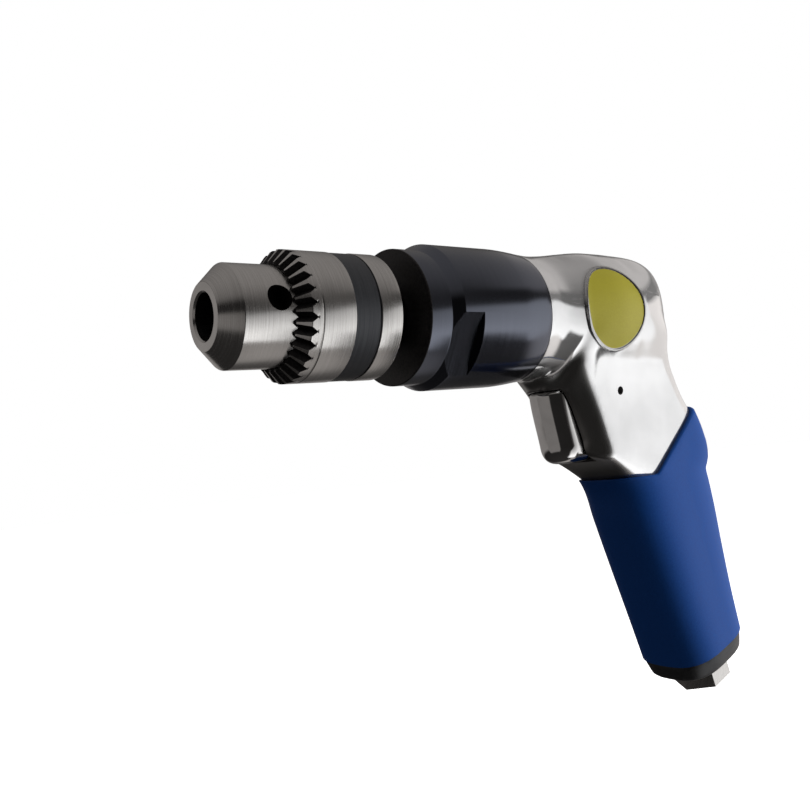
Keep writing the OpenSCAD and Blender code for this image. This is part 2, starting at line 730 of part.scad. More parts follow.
// Points of a line along the barrel, grown outwards by some thickness
function barrel_line(len_shares, r_shares, grow) = [for (i = [0:len(len_shares) - 1])
    [barrel_r * r_shares[i] + grow, joint_x + barrel_len * len_shares[i]]];

// One row of the barrel's rounded rear end
function tail_row(i) = let (
    x = joint_x + barrel_len * tail_len_shares[i],
    s = max(0, (tail_len_shares[i] - tail_curve_start_share) / (tail_close_share - tail_curve_start_share)),
    entry = table(tail_len_shares[i], tail_entry_len_shares, tail_entry_shares),
    side = barrel_r * sqrt(1 - s * s) * entry,
    top = barrel_r * tail_top_shares[i],
    power = table(tail_len_shares[i], tail_power_shares, tail_powers),
    low = top * tail_low_share)
    [for (j = [0:section_points - 1]) let (a = -j * 360 / section_points)
        [x, side * rounded(cos(a), power), (sin(a) > 0 ? top : low) * rounded(sin(a), power)]];

// The barrel's rounded rear end
module tail() loft([for (i = [0:len(tail_len_shares) - 1]) tail_row(i)]);

// One row of the handle at a share of its height, grown outwards by some thickness
function handle_row(share, grow) = let (
    front = handle_x + handle_depth * table(share, handle_drop_shares, handle_front_shares),
    rear = handle_x + handle_depth * table(share, handle_drop_shares, handle_rear_shares),
    half = max(handle_w / 2 * table(share, handle_drop_shares, handle_w_shares),
        barrel_r * table(share, neck_drop_shares, neck_w_shares)),
    front_power = table(share, handle_power_shares, front_powers),
    rear_power = table(share, handle_power_shares, rear_powers),
    tilt = foot_tilt * max(0, share - tilt_start_share) / (1 - tilt_start_share))
    [for (j = [0:section_points - 1])
        let (
            a = j * 360 / section_points,
            power = cos(a) < 0 ? front_power : rear_power,
            u = ((rear - front) / 2 + grow) * rounded(cos(a), power))
        [(front + rear) / 2 + u * cos(tilt), (half + grow) * rounded(sin(a), power),
            u * sin(tilt) - handle_len * share]];

// The hood over the trigger, which laps over the trigger's plan
module hood() translate([trigger_x, 0, -hood_bottom]) linear_extrude(hood_h)
    offset(r = hood_lap) trigger_plan();

// Lays a shape that points down on the line of the handle's foot
module at_foot() translate([foot_x, 0, -handle_len]) rotate([0, -foot_tilt, 0]) children();

module motor_housing() color("#c9ccd0") difference() {
    union() {
        turned(concat([[0, joint_x]], barrel_line(turned_len_shares, turned_r_shares, 0),
            [[0, joint_x + barrel_len * turned_len_shares[len(turned_len_shares) - 1]]]));
        tail();
        loft([for (share = handle_drop_shares) handle_row(share, 0)]);
        hood();
    }
    rod(spigot_r + fit_gap, joint_x - over, spigot_end);
    rod(motor_bore_r, joint_x - over, bore_end);
    // Recess of the trigger, and of its tongue
    slab_y([[trigger_x - over, -trigger_top + top_gap], [recess_end, -trigger_top + top_gap],
        [recess_end, -trigger_bottom - trigger_gap], [trigger_x - over, -trigger_bottom - trigger_gap]],
        trigger_w + 2 * trigger_gap);
    translate([tongue_front, -tongue_w / 2, -tongue_z - tongue_h / 2] - trigger_gap * [1, 1, 1])
        cube([trigger_end - tongue_front + tongue_len + trigger_travel + 2 * trigger_gap,
            tongue_w + 2 * trigger_gap, tongue_h + 2 * trigger_gap]);
    translate([pin_x, 0, -tongue_z]) rotate([90, 0, 0]) cylinder(r = pin_r, h = 2 * barrel_r, center = true);
    // Valve bore, feed to the motor, air line and exhaust lines
    translate([0, 0, -valve_z]) rod(bush_r + fit_gap, bush_x - over, valve_bore_end);
    translate([feed_x, 0, -valve_z]) cylinder(r = feed_r, h = valve_z - cylinder_r + over);
    at_foot() translate([0, 0, -over]) cylinder(r = inlet_bore_r, h = inlet_top);
    at_foot() translate([0, 0, -over]) cylinder(r = inlet_thread_r, h = inlet_thread_len + over);
    for (side = [-1, 1]) exhaust_line(side);
    // Seat that keeps the neck clear of the badge
    badge_plate(badge_gap / 2, 2 * badge_gap + badge_t, badge_gap);
}

// An exhaust line, from the motor's bore down to the foot
module exhaust_line(side) {
    run = [exhaust_foot_x - exhaust_top_x, 0, exhaust_top_z - handle_len];
    translate([exhaust_top_x, side * exhaust_y, -exhaust_top_z]) rotate([0, 90 + atan2(-run[2], run[0]), 0])
        cylinder(r = exhaust_r, h = norm(run) + 2 * over, $fn = hole_facets);
}

// An oval plate round the barrel's side, between two heights over it, grown along its rim
module badge_plate(low, high, grow) intersection() {
    outside = barrel_line(badge_len_shares, badge_r_shares, high);
    turned(concat(barrel_line(badge_len_shares, badge_r_shares, low),
        [for (i = [len(outside) - 1:-1:0]) outside[i]]));
    translate([badge_x, -barrel_r, 0]) slab_y([for (i = [0:badge_points - 1]) let (a = i * 360 / badge_points)
        [(badge_w / 2 + grow) * cos(a), (badge_h / 2 + grow) * sin(a)]], 2 * barrel_r - over);
}

module badge() color("#a39a2c") badge_plate(badge_gap, badge_gap + badge_t, 0);

module grip_sleeve() color("#2a5ca8") difference() {
    loft([for (share = handle_drop_shares) if (share > grip_start_share) handle_row(share, grip_t)]);
    loft(concat([for (share = handle_drop_shares) if (share > grip_core_start_share)
        handle_row(share, grip_gap)], [[for (p = handle_row(1, grip_gap)) p - [0, 0, over]]]));
    slab_y([[handle_x - barrel_r, 0], [handle_x - barrel_r, -grip_top], [grip_bend_x, -grip_top],
        [grip_bend_x + grip_rise_x, -grip_top + grip_rise], [barrel_end + barrel_r, -grip_top + grip_rise],
        [barrel_end + barrel_r, 0]], 2 * handle_w);
}

// Trigger and valve

module trigger() color("#8d9196") difference() {
    union() {
        intersection() {
            slab_y([[trigger_x, -trigger_top], [trigger_end, -trigger_top], [trigger_end, -trigger_bottom],
                for (a = [270:-15:180]) [trigger_x + trigger_lean + trigger_round * (1 + cos(a)),
                    -trigger_bottom + trigger_round * (1 + sin(a))]], trigger_w);
            translate([trigger_x, 0, -trigger_bottom - over])
                linear_extrude(trigger_h + 2 * over) trigger_plan();
        }
        translate([tongue_front, -tongue_w / 2, -tongue_z - tongue_h / 2])
            cube([trigger_end - tongue_front + tongue_len, tongue_w, tongue_h]);
    }
    translate([pin_x - slot_len / 2 + pin_r + trigger_gap, 0, -tongue_z])
        slot_along_x(pin_r + trigger_gap, slot_len);
    translate([0, 0, -valve_z]) rod(stem_r + fit_gap, stem_front, trigger_end + over);
}

// The trigger seen from above: a round front and straight sides
module trigger_plan() union() {
    translate([trigger_w / 2, 0]) circle(d = trigger_w);
    translate([trigger_w / 2, -trigger_w / 2]) square([trigger_depth - trigger_w / 2, trigger_w]);
}

// A slot through the trigger for the roll pin, centred on its length
module slot_along_x(r, length) rotate([90, 0, 0]) linear_extrude(trigger_w + 2 * over, center = true)
    union() {
    for (side = [-1, 1]) translate([side * (length / 2 - r), 0]) circle(r = r);
    square([length - 2 * r, 2 * r], center = true);
}

module trigger_pin() color("lightgray") translate([pin_x, 0, -tongue_z]) rotate([90, 0, 0])
    cylinder(r = pin_r - fit_gap, h = handle_w - 2 * pin_sink, center = true);

module valve_stem() color("silver") translate([0, 0, -valve_z]) {
    rod(stem_r, stem_front, poppet_x + over);
    rod(poppet_r, poppet_x, poppet_x + poppet_t);
}

module valve_seal() color("#262626") translate([0, 0, -valve_z])
    tube(poppet_r, stem_r + fit_gap, poppet_x - seal_ring_t, poppet_x);

module valve_bush() color("#b08d3e") translate([0, 0, -valve_z]) difference() {
    rod(bush_r, bush_x, bush_end);
    rod(stem_r + run_gap, bush_x - over, bush_end + over);
    rod(seat_r, bush_end - bush_chamber_len, bush_end + over);
    translate([feed_x, 0, 0]) cylinder(r = feed_r, h = bush_r + over);
}

// A point of the spring's wire: turns along the coil and clock angle around the wire
function spring_point(turn, clock) = let (
    rise = (spring_len - 2 * wire_r - 2 * face_gap) / spring_turns,
    r = spring_r + wire_r * cos(clock))
    [spring_x + wire_r + face_gap + rise * turn + wire_r * sin(clock),
        r * cos(turn * 360), r * sin(turn * 360) - valve_z];

module valve_spring() color("lightgray")
    loft([for (i = [0:spring_turns * turn_rings])
        [for (j = [0:wire_sides - 1]) spring_point(i / turn_rings, j * 360 / wire_sides)]]);

// Foot of the handle

// Clearance hole for the inlet's thread through the cap and the pad
module cap_hole() at_foot() translate([0, 0, -cap_t - over])
    cylinder(r = inlet_thread_r + cap_hole_gap, h = cap_t + 2 * over);

module exhaust_cap() color("#202124") difference() {
    loft([for (s = cap_row_shares) [for (p = handle_row(1, grip_t - cap_inset - 2 * s * s * cap_inset))
        p - s * cap_t * [-sin(foot_tilt), 0, cos(foot_tilt)]]]);
    loft([for (s = pad_room_shares) [for (p = handle_row(1, -pad_inset / 2))
        p - s * (pad_t + fit_gap) * [-sin(foot_tilt), 0, cos(foot_tilt)]]]);
    cap_hole();
    at_foot() for (side = [-1, 1], i = [0:cap_slot_count - 1])
        translate([side * (cap_slot_place - i * cap_slot_pitch), 0, -(cap_t + over) / 2])
            cube([cap_slot_w, cap_slot_len, cap_t + over], center = true);
}

module silencer_pad() color("#6b6b60") difference() {
    loft([for (s = pad_shares) [for (p = handle_row(1, -pad_inset / 2 - cap_hole_gap))
        p - s * pad_t * [-sin(foot_tilt), 0, cos(foot_tilt)]]]);
    cap_hole();
}

module inlet_bushing() color("silver") at_foot() difference() {
    union() {
        translate([0, 0, -cap_t - inlet_hex_h])
            cylinder(d = inlet_hex / cos(180 / hex_sides), h = inlet_hex_h, $fn = hex_sides);
        translate([0, 0, -cap_t - over])
            cylinder(r = inlet_thread_r - fit_gap, h = cap_t + inlet_thread_len + over);
    }
    translate([0, 0, -cap_t - inlet_hex_h - over]) cylinder(r = inlet_r, h = inlet_depth + over);
    translate([0, 0, -cap_t - inlet_hex_h]) cylinder(r = inlet_r - screen_step, h = inlet_depth + screen_t);
    translate([0, 0, -cap_t - inlet_hex_h - over]) cylinder(r = inlet_throat_r, h = 2 * handle_w);
}

module inlet_screen() color("lightgray") at_foot()
    translate([0, 0, -cap_t - inlet_hex_h + inlet_depth]) difference() {
        cylinder(r = inlet_r - screen_step - fit_gap, h = screen_t);
        for (i = [0:screen_holes - 1]) rotate([0, 0, i * 360 / screen_holes])
            translate([screen_ring_r, 0, -over])
                cylinder(r = screen_hole_r, h = screen_t + 2 * over, $fn = hole_facets);
        translate([0, 0, -over]) cylinder(r = screen_hole_r, h = screen_t + 2 * over, $fn = hole_facets);
    }

chuck_body();
chuck_sleeve();
chuck_nut();
jaw_1();
jaw_2();
jaw_3();
gear_case();
dust_seal();
spindle();
front_bearing_outer();
front_bearing_inner();
front_bearing_balls();
bearing_spacer();
rear_bearing_outer();
rear_bearing_inner();
rear_bearing_balls();
retaining_ring();
planet_pins();
planet_1();
planet_2();
planet_3();
ring_gear();
thrust_washer();
front_end_plate();
motor_bearing_front_outer();
motor_bearing_front_inner();
motor_bearing_front_balls();
cylinder_sleeve();
cylinder_dowel();
rotor();
vanes();
rear_end_plate();
motor_bearing_rear_outer();
motor_bearing_rear_inner();
motor_bearing_rear_balls();
rear_gasket();
motor_housing();
badge();
grip_sleeve();
trigger();
trigger_pin();
valve_stem();
valve_seal();
valve_bush();
valve_spring();
exhaust_cap();
silencer_pad();
inlet_bushing();
inlet_screen();
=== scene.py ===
"""The looks of the air drill: fine shapes, finishes and the studio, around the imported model.

Lengths in the tables are millimetres in the model's own frame, and become metres when a mesh is made.
"""

import json
import math

import bmesh
import bpy
import numpy as np
from mathutils import Matrix, Vector


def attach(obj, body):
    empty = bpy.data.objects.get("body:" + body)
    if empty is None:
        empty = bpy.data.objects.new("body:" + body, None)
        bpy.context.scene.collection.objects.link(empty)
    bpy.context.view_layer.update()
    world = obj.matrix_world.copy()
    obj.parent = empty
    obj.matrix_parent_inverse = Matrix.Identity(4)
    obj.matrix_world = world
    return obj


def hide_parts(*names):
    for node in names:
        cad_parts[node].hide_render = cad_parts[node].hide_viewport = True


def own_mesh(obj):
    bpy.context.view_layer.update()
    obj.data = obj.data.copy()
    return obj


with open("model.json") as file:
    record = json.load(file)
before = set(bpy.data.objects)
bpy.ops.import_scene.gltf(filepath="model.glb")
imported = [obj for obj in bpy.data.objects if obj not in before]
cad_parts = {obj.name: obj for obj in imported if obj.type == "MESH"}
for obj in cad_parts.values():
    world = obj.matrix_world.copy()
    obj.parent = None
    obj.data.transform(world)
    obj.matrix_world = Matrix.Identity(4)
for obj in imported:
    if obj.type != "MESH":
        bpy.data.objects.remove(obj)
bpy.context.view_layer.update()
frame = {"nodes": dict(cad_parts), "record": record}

MM = 0.001
# How far a cutter reaches past what it cuts
OVER = 1

# Chuck
FACE_R = 9.2
NOSE_R = 14.4
BODY_EASE = 0.35
MOUTH_R = 6.35
MOUTH_LEN = 8.6
MOUTH_STEP = 0.2
MOUTH_DEPTH = 30
MOUTH_BEVEL = 0.5
MOUTH_EASE = 0.2
SLEEVE_R = 18.75
SLEEVE_BORE_R = 16
SLEEVE_LIP_R = 14.46
BEVEL_FRONT_R = 15.3
TEETH_FRONT = 19.3
TEETH_LEN = 3
TOOTH_COUNT = 30
TOOTH_CLOCK = 1.4
TOOTH_RUN_OUT = 1.9
TOOTH_SLOPE = 0.97
TOOTH_STEP = 0.4
LEAST_TOOTH_EDGE = 0.002
LIP_MARGIN = 0.01
SLEEVE_END = 51.9
SLEEVE_EASE = 0.3
SEAM_X = 25.8
SEAM_W = 0.22
SEAM_DEPTH = 0.18
BAND_X = (36.1, 44.7)
BAND_DEPTH = 0.15
BAND_SLOPE = 0.1
BAND_GROOVE_W = 0.4
GROOVE_FRONT = 22.7
GROOVE_END = 29.9
BODY_END = 50.5
HUB_R = 11
CHUCK_LEN = 56
SHOULDER_R = 15.94
THREAD_R = 4.76
SOCKET_DEPTH = 15
KEY_X = 15.6
KEY_R = 3.6
KEY_DEPTH = 6
KEY_CLOCK = 10.4
JAW_COUNT = 3
JAW_CLOCK = 70.4
JAW_ANGLE = math.radians(15)
JAW_HOLE_R = 3.16
JAW_TIP_R = 0.7
JAW_R = 3.1
JAW_SHOW = 0.5
JAW_HOLE_LEN = 46
# Where the painted shade of holes and tooth spaces, and the band's own dark grey, begin
HOLE_MARGIN = 0.1
KEY_RIM = 0.3
MOUTH_RIM = 0.6
LIP_RIM = 0.02
LAND_RIM = 0.04
BAND_LEAST_R = 17

# Gear case
CASE_FRONT = 60.3
COLLAR_R = 21
COLLAR_END = 68.3
FLAT_X = (68.3, 79.2)
FLAT_REACH = 20.5
SHOULDER_X = 71.7
FLAT_CLOCK = -33
CASE_R = 23
TAPER_X = 97
TAPER_POWER = 1.6
TAPER_STEPS = 7
JOINT_X = 109.5
JOINT_R = 22
SPIGOT_R = 20.2
SPIGOT_END = 117.5
SPIGOT_GAP = 0.02
CASE_EASE = 0.45
CASE_EDGE = 0.16
FACE_RIM = 0.4
CASE_BORES = ((18.52, 104.4), (17.62, 92.3), (15.2, 87.7), (14.02, 62.8), (11, 60.9), (9.2, 60.3))

# Housing and handle: shares of the barrel's and the handle's lengths, depths and widths
BARREL_LEN = 77
BARREL_R = 24.1
BARREL_LEN_SHARES = (0, 0.08, 0.21, 0.31, 0.44, 0.53)
BARREL_R_SHARES = (0.913, 0.897, 0.917, 0.955, 0.997, 1)
TAIL_START_SHARE = 0.56
TAIL_CLOSE_SHARE = 0.977
TAIL_LOW_SHARE = 0.97
TAIL_POWER = 2.8
TAIL_POWER_REACH = (0.05, 0.65)
TAIL_LOW_REACH = (0, 0.4)
HANDLE_X = 131.5
HANDLE_LEN = 128
HANDLE_DEPTH = 50
HANDLE_W = 29
DROP_SHARES = (0, 0.063, 0.11, 0.156, 0.203, 0.25, 0.297, 0.344, 0.39,
               0.406, 0.422, 0.445, 0.484, 0.578, 0.719, 0.86, 1)
FRONT_SHARES = (-0.07, -0.1, -0.13, -0.14, -0.126, -0.068, -0.024, 0.016, 0.054,
                0.134, 0.2, 0.274, 0.35, 0.435, 0.563, 0.69, 0.815)
REAR_SHARES = (0.82, 0.86, 0.88, 0.945, 1.035, 1.112, 1.2, 1.26, 1.3,
               1.315, 1.33, 1.35, 1.37, 1.405, 1.44, 1.485, 1.54)
WIDTH_SHARES = (1.496, 1.479, 1.346, 1.197, 1.075, 1.02, 1, 1, 1, 1, 1, 1, 1, 1, 0.986, 0.966, 0.966)
POWER_SHARES = (0, 0.11, 0.39, 0.47)
HANDLE_POWERS = (4, 8, 8, 3)
CORNER_DROP_SHARES = (0.1, 0.155, 0.21, 0.37, 0.5)
CORNER_SHARES = (-0.164, -0.065, 0.016, 0.15, 0.25)
CORNER_ROUND = 1.2
TILT_START_SHARE = 0.484
FOOT_TILT = math.radians(15)
HANDLE_CEILING = 4
BLEND_R = 2.2
HOOD_LAP = 0.5
HOOD_Z = (-25.7, -15.7)
HOOD_ROUND = 0.6
HOOD_BLEND_R = 6
FOOT = (190.375, 0, -128)
FOOT_OUT = Vector((math.sin(FOOT_TILT), 0, -math.cos(FOOT_TILT)))
FOOT_TURN = Matrix.Translation(FOOT) @ Matrix.Rotation(-FOOT_TILT, 4, "Y")
FOOT_CUT = 60
MOTOR_BORE_R = 18.52
MOTOR_BORE_END = 164.6
INLET_THREAD_R = 8
INLET_THREAD_LEN = 16
FRONT_CUT = 20
NET_LOW = (105.5, -26, -136)
NET_HIGH = (214, 26, 26)
NET_CELL = 1.0

# Grip sleeve
GRIP_T = 1.6
GRIP_GAP = 0.05
GRIP_TOP = 59.5
GRIP_BEND_X = 161.5
GRIP_SLOPE = 25 / 32
GRIP_RISE = 25
GRIP_START_REACH = (0.2, 0.6)

# Badge
BADGE_X = 140.1
BADGE_HALF = (14.4, 15)
BADGE_GAP = 0.05
BADGE_T = 0.75
BADGE_RIM_SHARE = 0.923
BADGE_SIDE_Y = (-30, -5)
# Shares of the badge's half size and of its thickness, from the edge to the middle
BADGE_RINGS = ((1, 0), (1, 0.75), (0.99, 0.95), (0.975, 1), (0.95, 1), (0.935, 0.92), (0.925, 0.62),
               (0.915, 0.6), (0.75, 0.64), (0.55, 0.68), (0.35, 0.7), (0.15, 0.72), (0, 0.72))

# Trigger
TRIGGER_X = 120
TRIGGER_END = 140
TRIGGER_TOP = 26.1
TRIGGER_BOTTOM = 51.8
TRIGGER_W = 15
TRIGGER_LEAN = 3
TRIGGER_ROUND = 1.6
TRIGGER_FOOT_ROUND = 3
TRIGGER_TRAVEL = 7
TRIGGER_GAP = 0.4
TRIGGER_CELL = 0.45
RECESS_TOP = 25.9
RECESS_END = 147.4
TONGUE_X = 139
TONGUE_Z = 28.3
TONGUE_H = 7
TONGUE_W = 8
TONGUE_LEN = 10.5
PIN_X = 147
PIN_R = 1.5
VALVE_Z = 40
BUSH_R = 6.52
VALVE_END = 182.65
STEM_HOLE_R = 2.02
STEM_FRONT = 136

# Exhaust cap
CAP_T = 7
CAP_GROW = 1
CAP_HOLE_R = 8.3
CAP_SLOT_PLACES = (13.6, 11.1)
CAP_SLOT = (1.2, 11)
CAP_SLOT_DEPTH = 4
# Shares of the cap's thickness, and how far its side stands out there
CAP_LEVELS = ((0, -0.1), (0.03, 0), (0.25, -0.08), (0.7, -0.75), (0.88, -1.08), (0.97, -1.6), (1, -2.6))

# Valve spring
SPRING_LEN = 14
SPRING_R = 3.6
SPRING_TURNS = 6
WIRE_R = 0.4
SPRING_GAP = 0.25

# Rounded corners of a profile: the share of a side they may use, the turns that get them, the least reach
EASE_ROOM = 0.4
EASE_TURNS = (0.1, 3.05)
LEAST_REACH = 0.01
LEAST_R = 0.001
LEAST_SLOPE = 1e-9
MERGE_M = 1e-7
# The least agreement of a face with its field for the field's shading
FACING = 0.6


def spline(x, xs, ys):
    """Smooth reading of a table, flat beyond its ends."""
    xs, ys = np.asarray(xs, float), np.asarray(ys, float)
    slopes = np.gradient(ys, xs)
    x = np.clip(x, xs[0], xs[-1])
    i = np.clip(np.searchsorted(xs, x, side="right") - 1, 0, len(xs) - 2)
    h = xs[i + 1] - xs[i]
    t = (x - xs[i]) / h
    return ((1 + 2 * t) * (1 - t) ** 2 * ys[i] + t * (1 - t) ** 2 * h * slopes[i]
            + t * t * (3 - 2 * t) * ys[i + 1] + t * t * (t - 1) * h * slopes[i + 1])


def angles(count):
    """Even angles of a full turn."""
    return np.linspace(0, 2 * math.pi, count, endpoint=False)


def ramp(x, low, high):
    """Smooth step from 0 at low to 1 at high."""
    t = np.clip((x - low) / (high - low), 0, 1)
    return t * t * (3 - 2 * t)


def radial(clock):
    """Unit vector across the spindle, up from the badge's side by a clock angle in degrees."""
    a = math.radians(clock)
    return Vector((0, -math.cos(a), math.sin(a)))


# Meshes

def new_piece(name, points, faces):
    """A mesh object from points in millimetres, with its faces turned outwards."""
    mesh = bpy.data.meshes.new(name)
    mesh.from_pydata([tuple(c * MM for c in p) for p in points], [], faces)
    bm = bmesh.new()
    bm.from_mesh(mesh)
    bmesh.ops.remove_doubles(bm, verts=bm.verts, dist=MERGE_M)
    bmesh.ops.recalc_face_normals(bm, faces=bm.faces)
    bm.to_mesh(mesh)
    bm.free()
    piece = bpy.data.objects.new(name, mesh)
    bpy.context.scene.collection.objects.link(piece)
    return piece


def eased(profile, radius, steps=4):
    """A closed profile with its corners rounded, where their sides leave room."""
    out = []
    for i, point in enumerate(profile):
        here = np.array(point, float)
        back = np.array(profile[i - 1]) - here
        ahead = np.array(profile[(i + 1) % len(profile)]) - here
        room = min(np.linalg.norm(back), np.linalg.norm(ahead))
        back, ahead = back / np.linalg.norm(back), ahead / np.linalg.norm(ahead)
        turn = math.acos(max(-1, min(1, float(back @ ahead))))
        turns = EASE_TURNS[0] < turn < EASE_TURNS[1]
        reach = min(radius / math.tan(turn / 2), EASE_ROOM * room) if turns else 0
        if reach < LEAST_REACH or point[0] < LEAST_REACH:
            out.append(tuple(here))
            continue
        for k in range(steps + 1):
            t = k / steps
            out.append(tuple(here + back * reach * (1 - t) ** 2 + ahead * reach * t ** 2))
    return out


def turned(name, profile, segments=180):
    """A closed shape turned about the spindle from (radius, x) points."""
    points, rings = [], []
    for r, x in profile:
        rings.append([])
        for j in range(segments if r > LEAST_R else 1):
            a = 2 * math.pi * j / segments
            rings[-1].append(len(points))
            points.append((x, -r * math.cos(a), r * math.sin(a)))
    faces = []
    for i, ring in enumerate(rings):
        other = rings[(i + 1) % len(rings)]
        for j in range(segments):
            corners = [ring[j % len(ring)], ring[(j + 1) % len(ring)],
                       other[(j + 1) % len(other)], other[j % len(other)]]
            corners = list(dict.fromkeys(corners))
            if len(corners) > 2:
                faces.append(corners)
    return new_piece(name, points, faces)


def ring_faces(rows, around, closed=True, capped=False):
    """Faces between rows of points round a piece. If closed, the last row meets the first. Caps fill both."""
    pairs = [(i, (i + 1) % rows) for i in range(rows if closed else rows - 1)]
    faces = [[i * around + j, i * around + (j + 1) % around, k * around + (j + 1) % around, k * around + j]
             for i, k in pairs for j in range(around)]
    ends = (0, (rows - 1) * around) if capped else ()
    return faces + [list(range(end, end + around)) for end in ends]


def rod(start, direction, r, length, segments=64):
    """A cylinder from a start point along a direction, for cuts."""
    axis = Vector(direction).normalized()
    side = axis.orthogonal().normalized()
    other = axis.cross(side)
    points = [Vector(start) + axis * h + (side * math.cos(a) + other * math.sin(a)) * r
              for h in (0, length) for a in (2 * math.pi * j / segments for j in range(segments))]
    faces = [[j, (j + 1) % segments, segments + (j + 1) % segments, segments + j] for j in range(segments)]
    faces += [list(range(segments)), list(range(segments, 2 * segments))]
    return new_piece("cutter", points, faces)


def block(low, high):
    """A box between two corners, for cuts."""
    points = [(x, y, z) for x in (low[0], high[0]) for y in (low[1], high[1]) for z in (low[2], high[2])]
    faces = [(0, 1, 3, 2), (4, 6, 7, 5), (0, 4, 5, 1), (2, 3, 7, 6), (0, 2, 6, 4), (1, 5, 7, 3)]
    return new_piece("cutter", points, faces)


def placed(piece, matrix):
    """Moves a piece's points by a matrix whose lengths are millimetres."""
    scale = Matrix.Scale(MM, 4)
    piece.data.transform(scale @ matrix @ scale.inverted())
    return piece


def apply_modifiers(piece):
    """Turns a piece's modifiers into its own mesh."""
    bpy.context.view_layer.update()
    done = bpy.data.meshes.new_from_object(piece.evaluated_get(bpy.context.evaluated_depsgraph_get()))
    old = piece.data
    piece.modifiers.clear()
    piece.data = done
    bpy.data.meshes.remove(old)


def joined(operation, piece, other):
    """Runs one piece together with another that is used up."""
    step = piece.modifiers.new("join", "BOOLEAN")
    step.operation = operation
    step.solver = "EXACT"
    step.object = other
    apply_modifiers(piece)
    bpy.data.objects.remove(other)
    return piece


def cut(piece, *cutters):
    """Takes cutters out of a piece, all at once."""
    tool = cutters[0]
    for other in cutters[1:]:
        joined("UNION", tool, other)
    return joined("DIFFERENCE", piece, tool)


def ease_edges(piece, width, angle=40):
    """A small round along the sharp edges of a piece."""
    step = piece.modifiers.new("edges", "BEVEL")
    step.width = width * MM
    step.segments = 2
    step.limit_method = "ANGLE"
    step.angle_limit = math.radians(angle)
    step.use_clamp_overlap = True
    step.miter_outer = "MITER_ARC"
    apply_modifiers(piece)


def smooth(piece, angle=35):
    """Smooth shading, except over edges sharper than an angle."""
    piece.data.polygons.foreach_set("use_smooth", np.ones(len(piece.data.polygons), bool))
    piece.data.set_sharp_from_angle(angle=math.radians(angle))
    piece.data.update()


def surface_net(name, field, low, high, cell):
    """A mesh over the zero level of a field, with its points drawn onto that level."""
    axes = [np.arange(a - 2 * cell, b + 2 * cell, cell) for a, b in zip(low, high)]
    grid = np.stack(np.meshgrid(*axes, indexing="ij"), -1)
    shape = grid.shape[:3]
    values = field(grid.reshape(-1, 3)).reshape(shape)
    inside = values < 0
    total = np.zeros([n - 1 for n in shape] + [3])
    count = np.zeros([n - 1 for n in shape])
    corners = [(a, b, c) for a in (0, 1) for b in (0, 1) for c in (0, 1)]

    def corner(array, at):
        return array[tuple(slice(o, shape[i] - 1 + o) for i, o in enumerate(at))]

    for one in corners:
        for axis in range(3):
            if one[axis]:
                continue
            two = tuple(o + (i == axis) for i, o in enumerate(one))
            v1, v2 = corner(values, one), corner(values, two)
            crossed = (v1 < 0) != (v2 < 0)
            t = np.where(crossed, v1 / np.where(crossed, v1 - v2, 1), 0)
            place = corner(grid, one) + t[..., None] * (corner(grid, two) - corner(grid, one))
            total += np.where(crossed[..., None], place, 0)
            count += crossed
    active = count > 0
    index = np.full(active.shape, -1)
    index[active] = np.arange(active.sum())
    points = total[active] / count[active][:, None]
    faces = []
    for axis in range(3):
        one, two = [slice(1, -1)] * 3, [slice(1, -1)] * 3
        one[axis], two[axis] = slice(0, -1), slice(1, None)
        first, second = inside[tuple(one)], inside[tuple(two)]
        u, v = [i for i in range(3) if i != axis]
        for flip in (False, True):
            where = np.argwhere((first & ~second) if not flip else (~first & second))
            where[:, u] += 1
            where[:, v] += 1
            around = []
            for du, dv in ((-1, -1), (0, -1), (0, 0), (-1, 0)):
                at = where.copy()
                at[:, u] += du
                at[:, v] += dv
                around.append(index[tuple(at.T)])
            around = np.stack(around, 1)
            faces.append(around[:, ::-1] if flip != (axis == 1) else around)
    faces = np.concatenate(faces)
    edges = np.concatenate([faces[:, [i, (i + 1) % 4]] for i in range(4)])
    for _ in range(3):
        near = np.zeros_like(points)
        number = np.zeros(len(points))
        for a, b in ((0, 1), (1, 0)):
            np.add.at(near, edges[:, a], points[edges[:, b]])
            np.add.at(number, edges[:, a], 1)
        points = drawn_onto(field, 0.5 * points + 0.5 * near / number[:, None])
    return new_piece(name, points.tolist(), faces.tolist())


def slope_of(field, points, step=0.02):
    """Gradient of a field."""
    return np.stack([(field(points + d) - field(points - d)) / (2 * step) for d in np.eye(3) * step], 1)


def drawn_onto(field, points, rounds=4):
    """Points moved onto the zero level of a field."""
    for _ in range(rounds):
        g = slope_of(field, points)
        points = points - (field(points) / np.maximum((g * g).sum(1), LEAST_SLOPE))[:, None] * g
    return points


def round_max(a, b, r):
    """The larger of two fields, run together over a radius."""
    h = np.maximum(r - np.abs(a - b), 0) / r
    return np.maximum(a, b) + h * h * r / 4


def round_min(a, b, r):
    """The smaller of two fields, run together over a radius."""
    return -round_max(-a, -b, r)


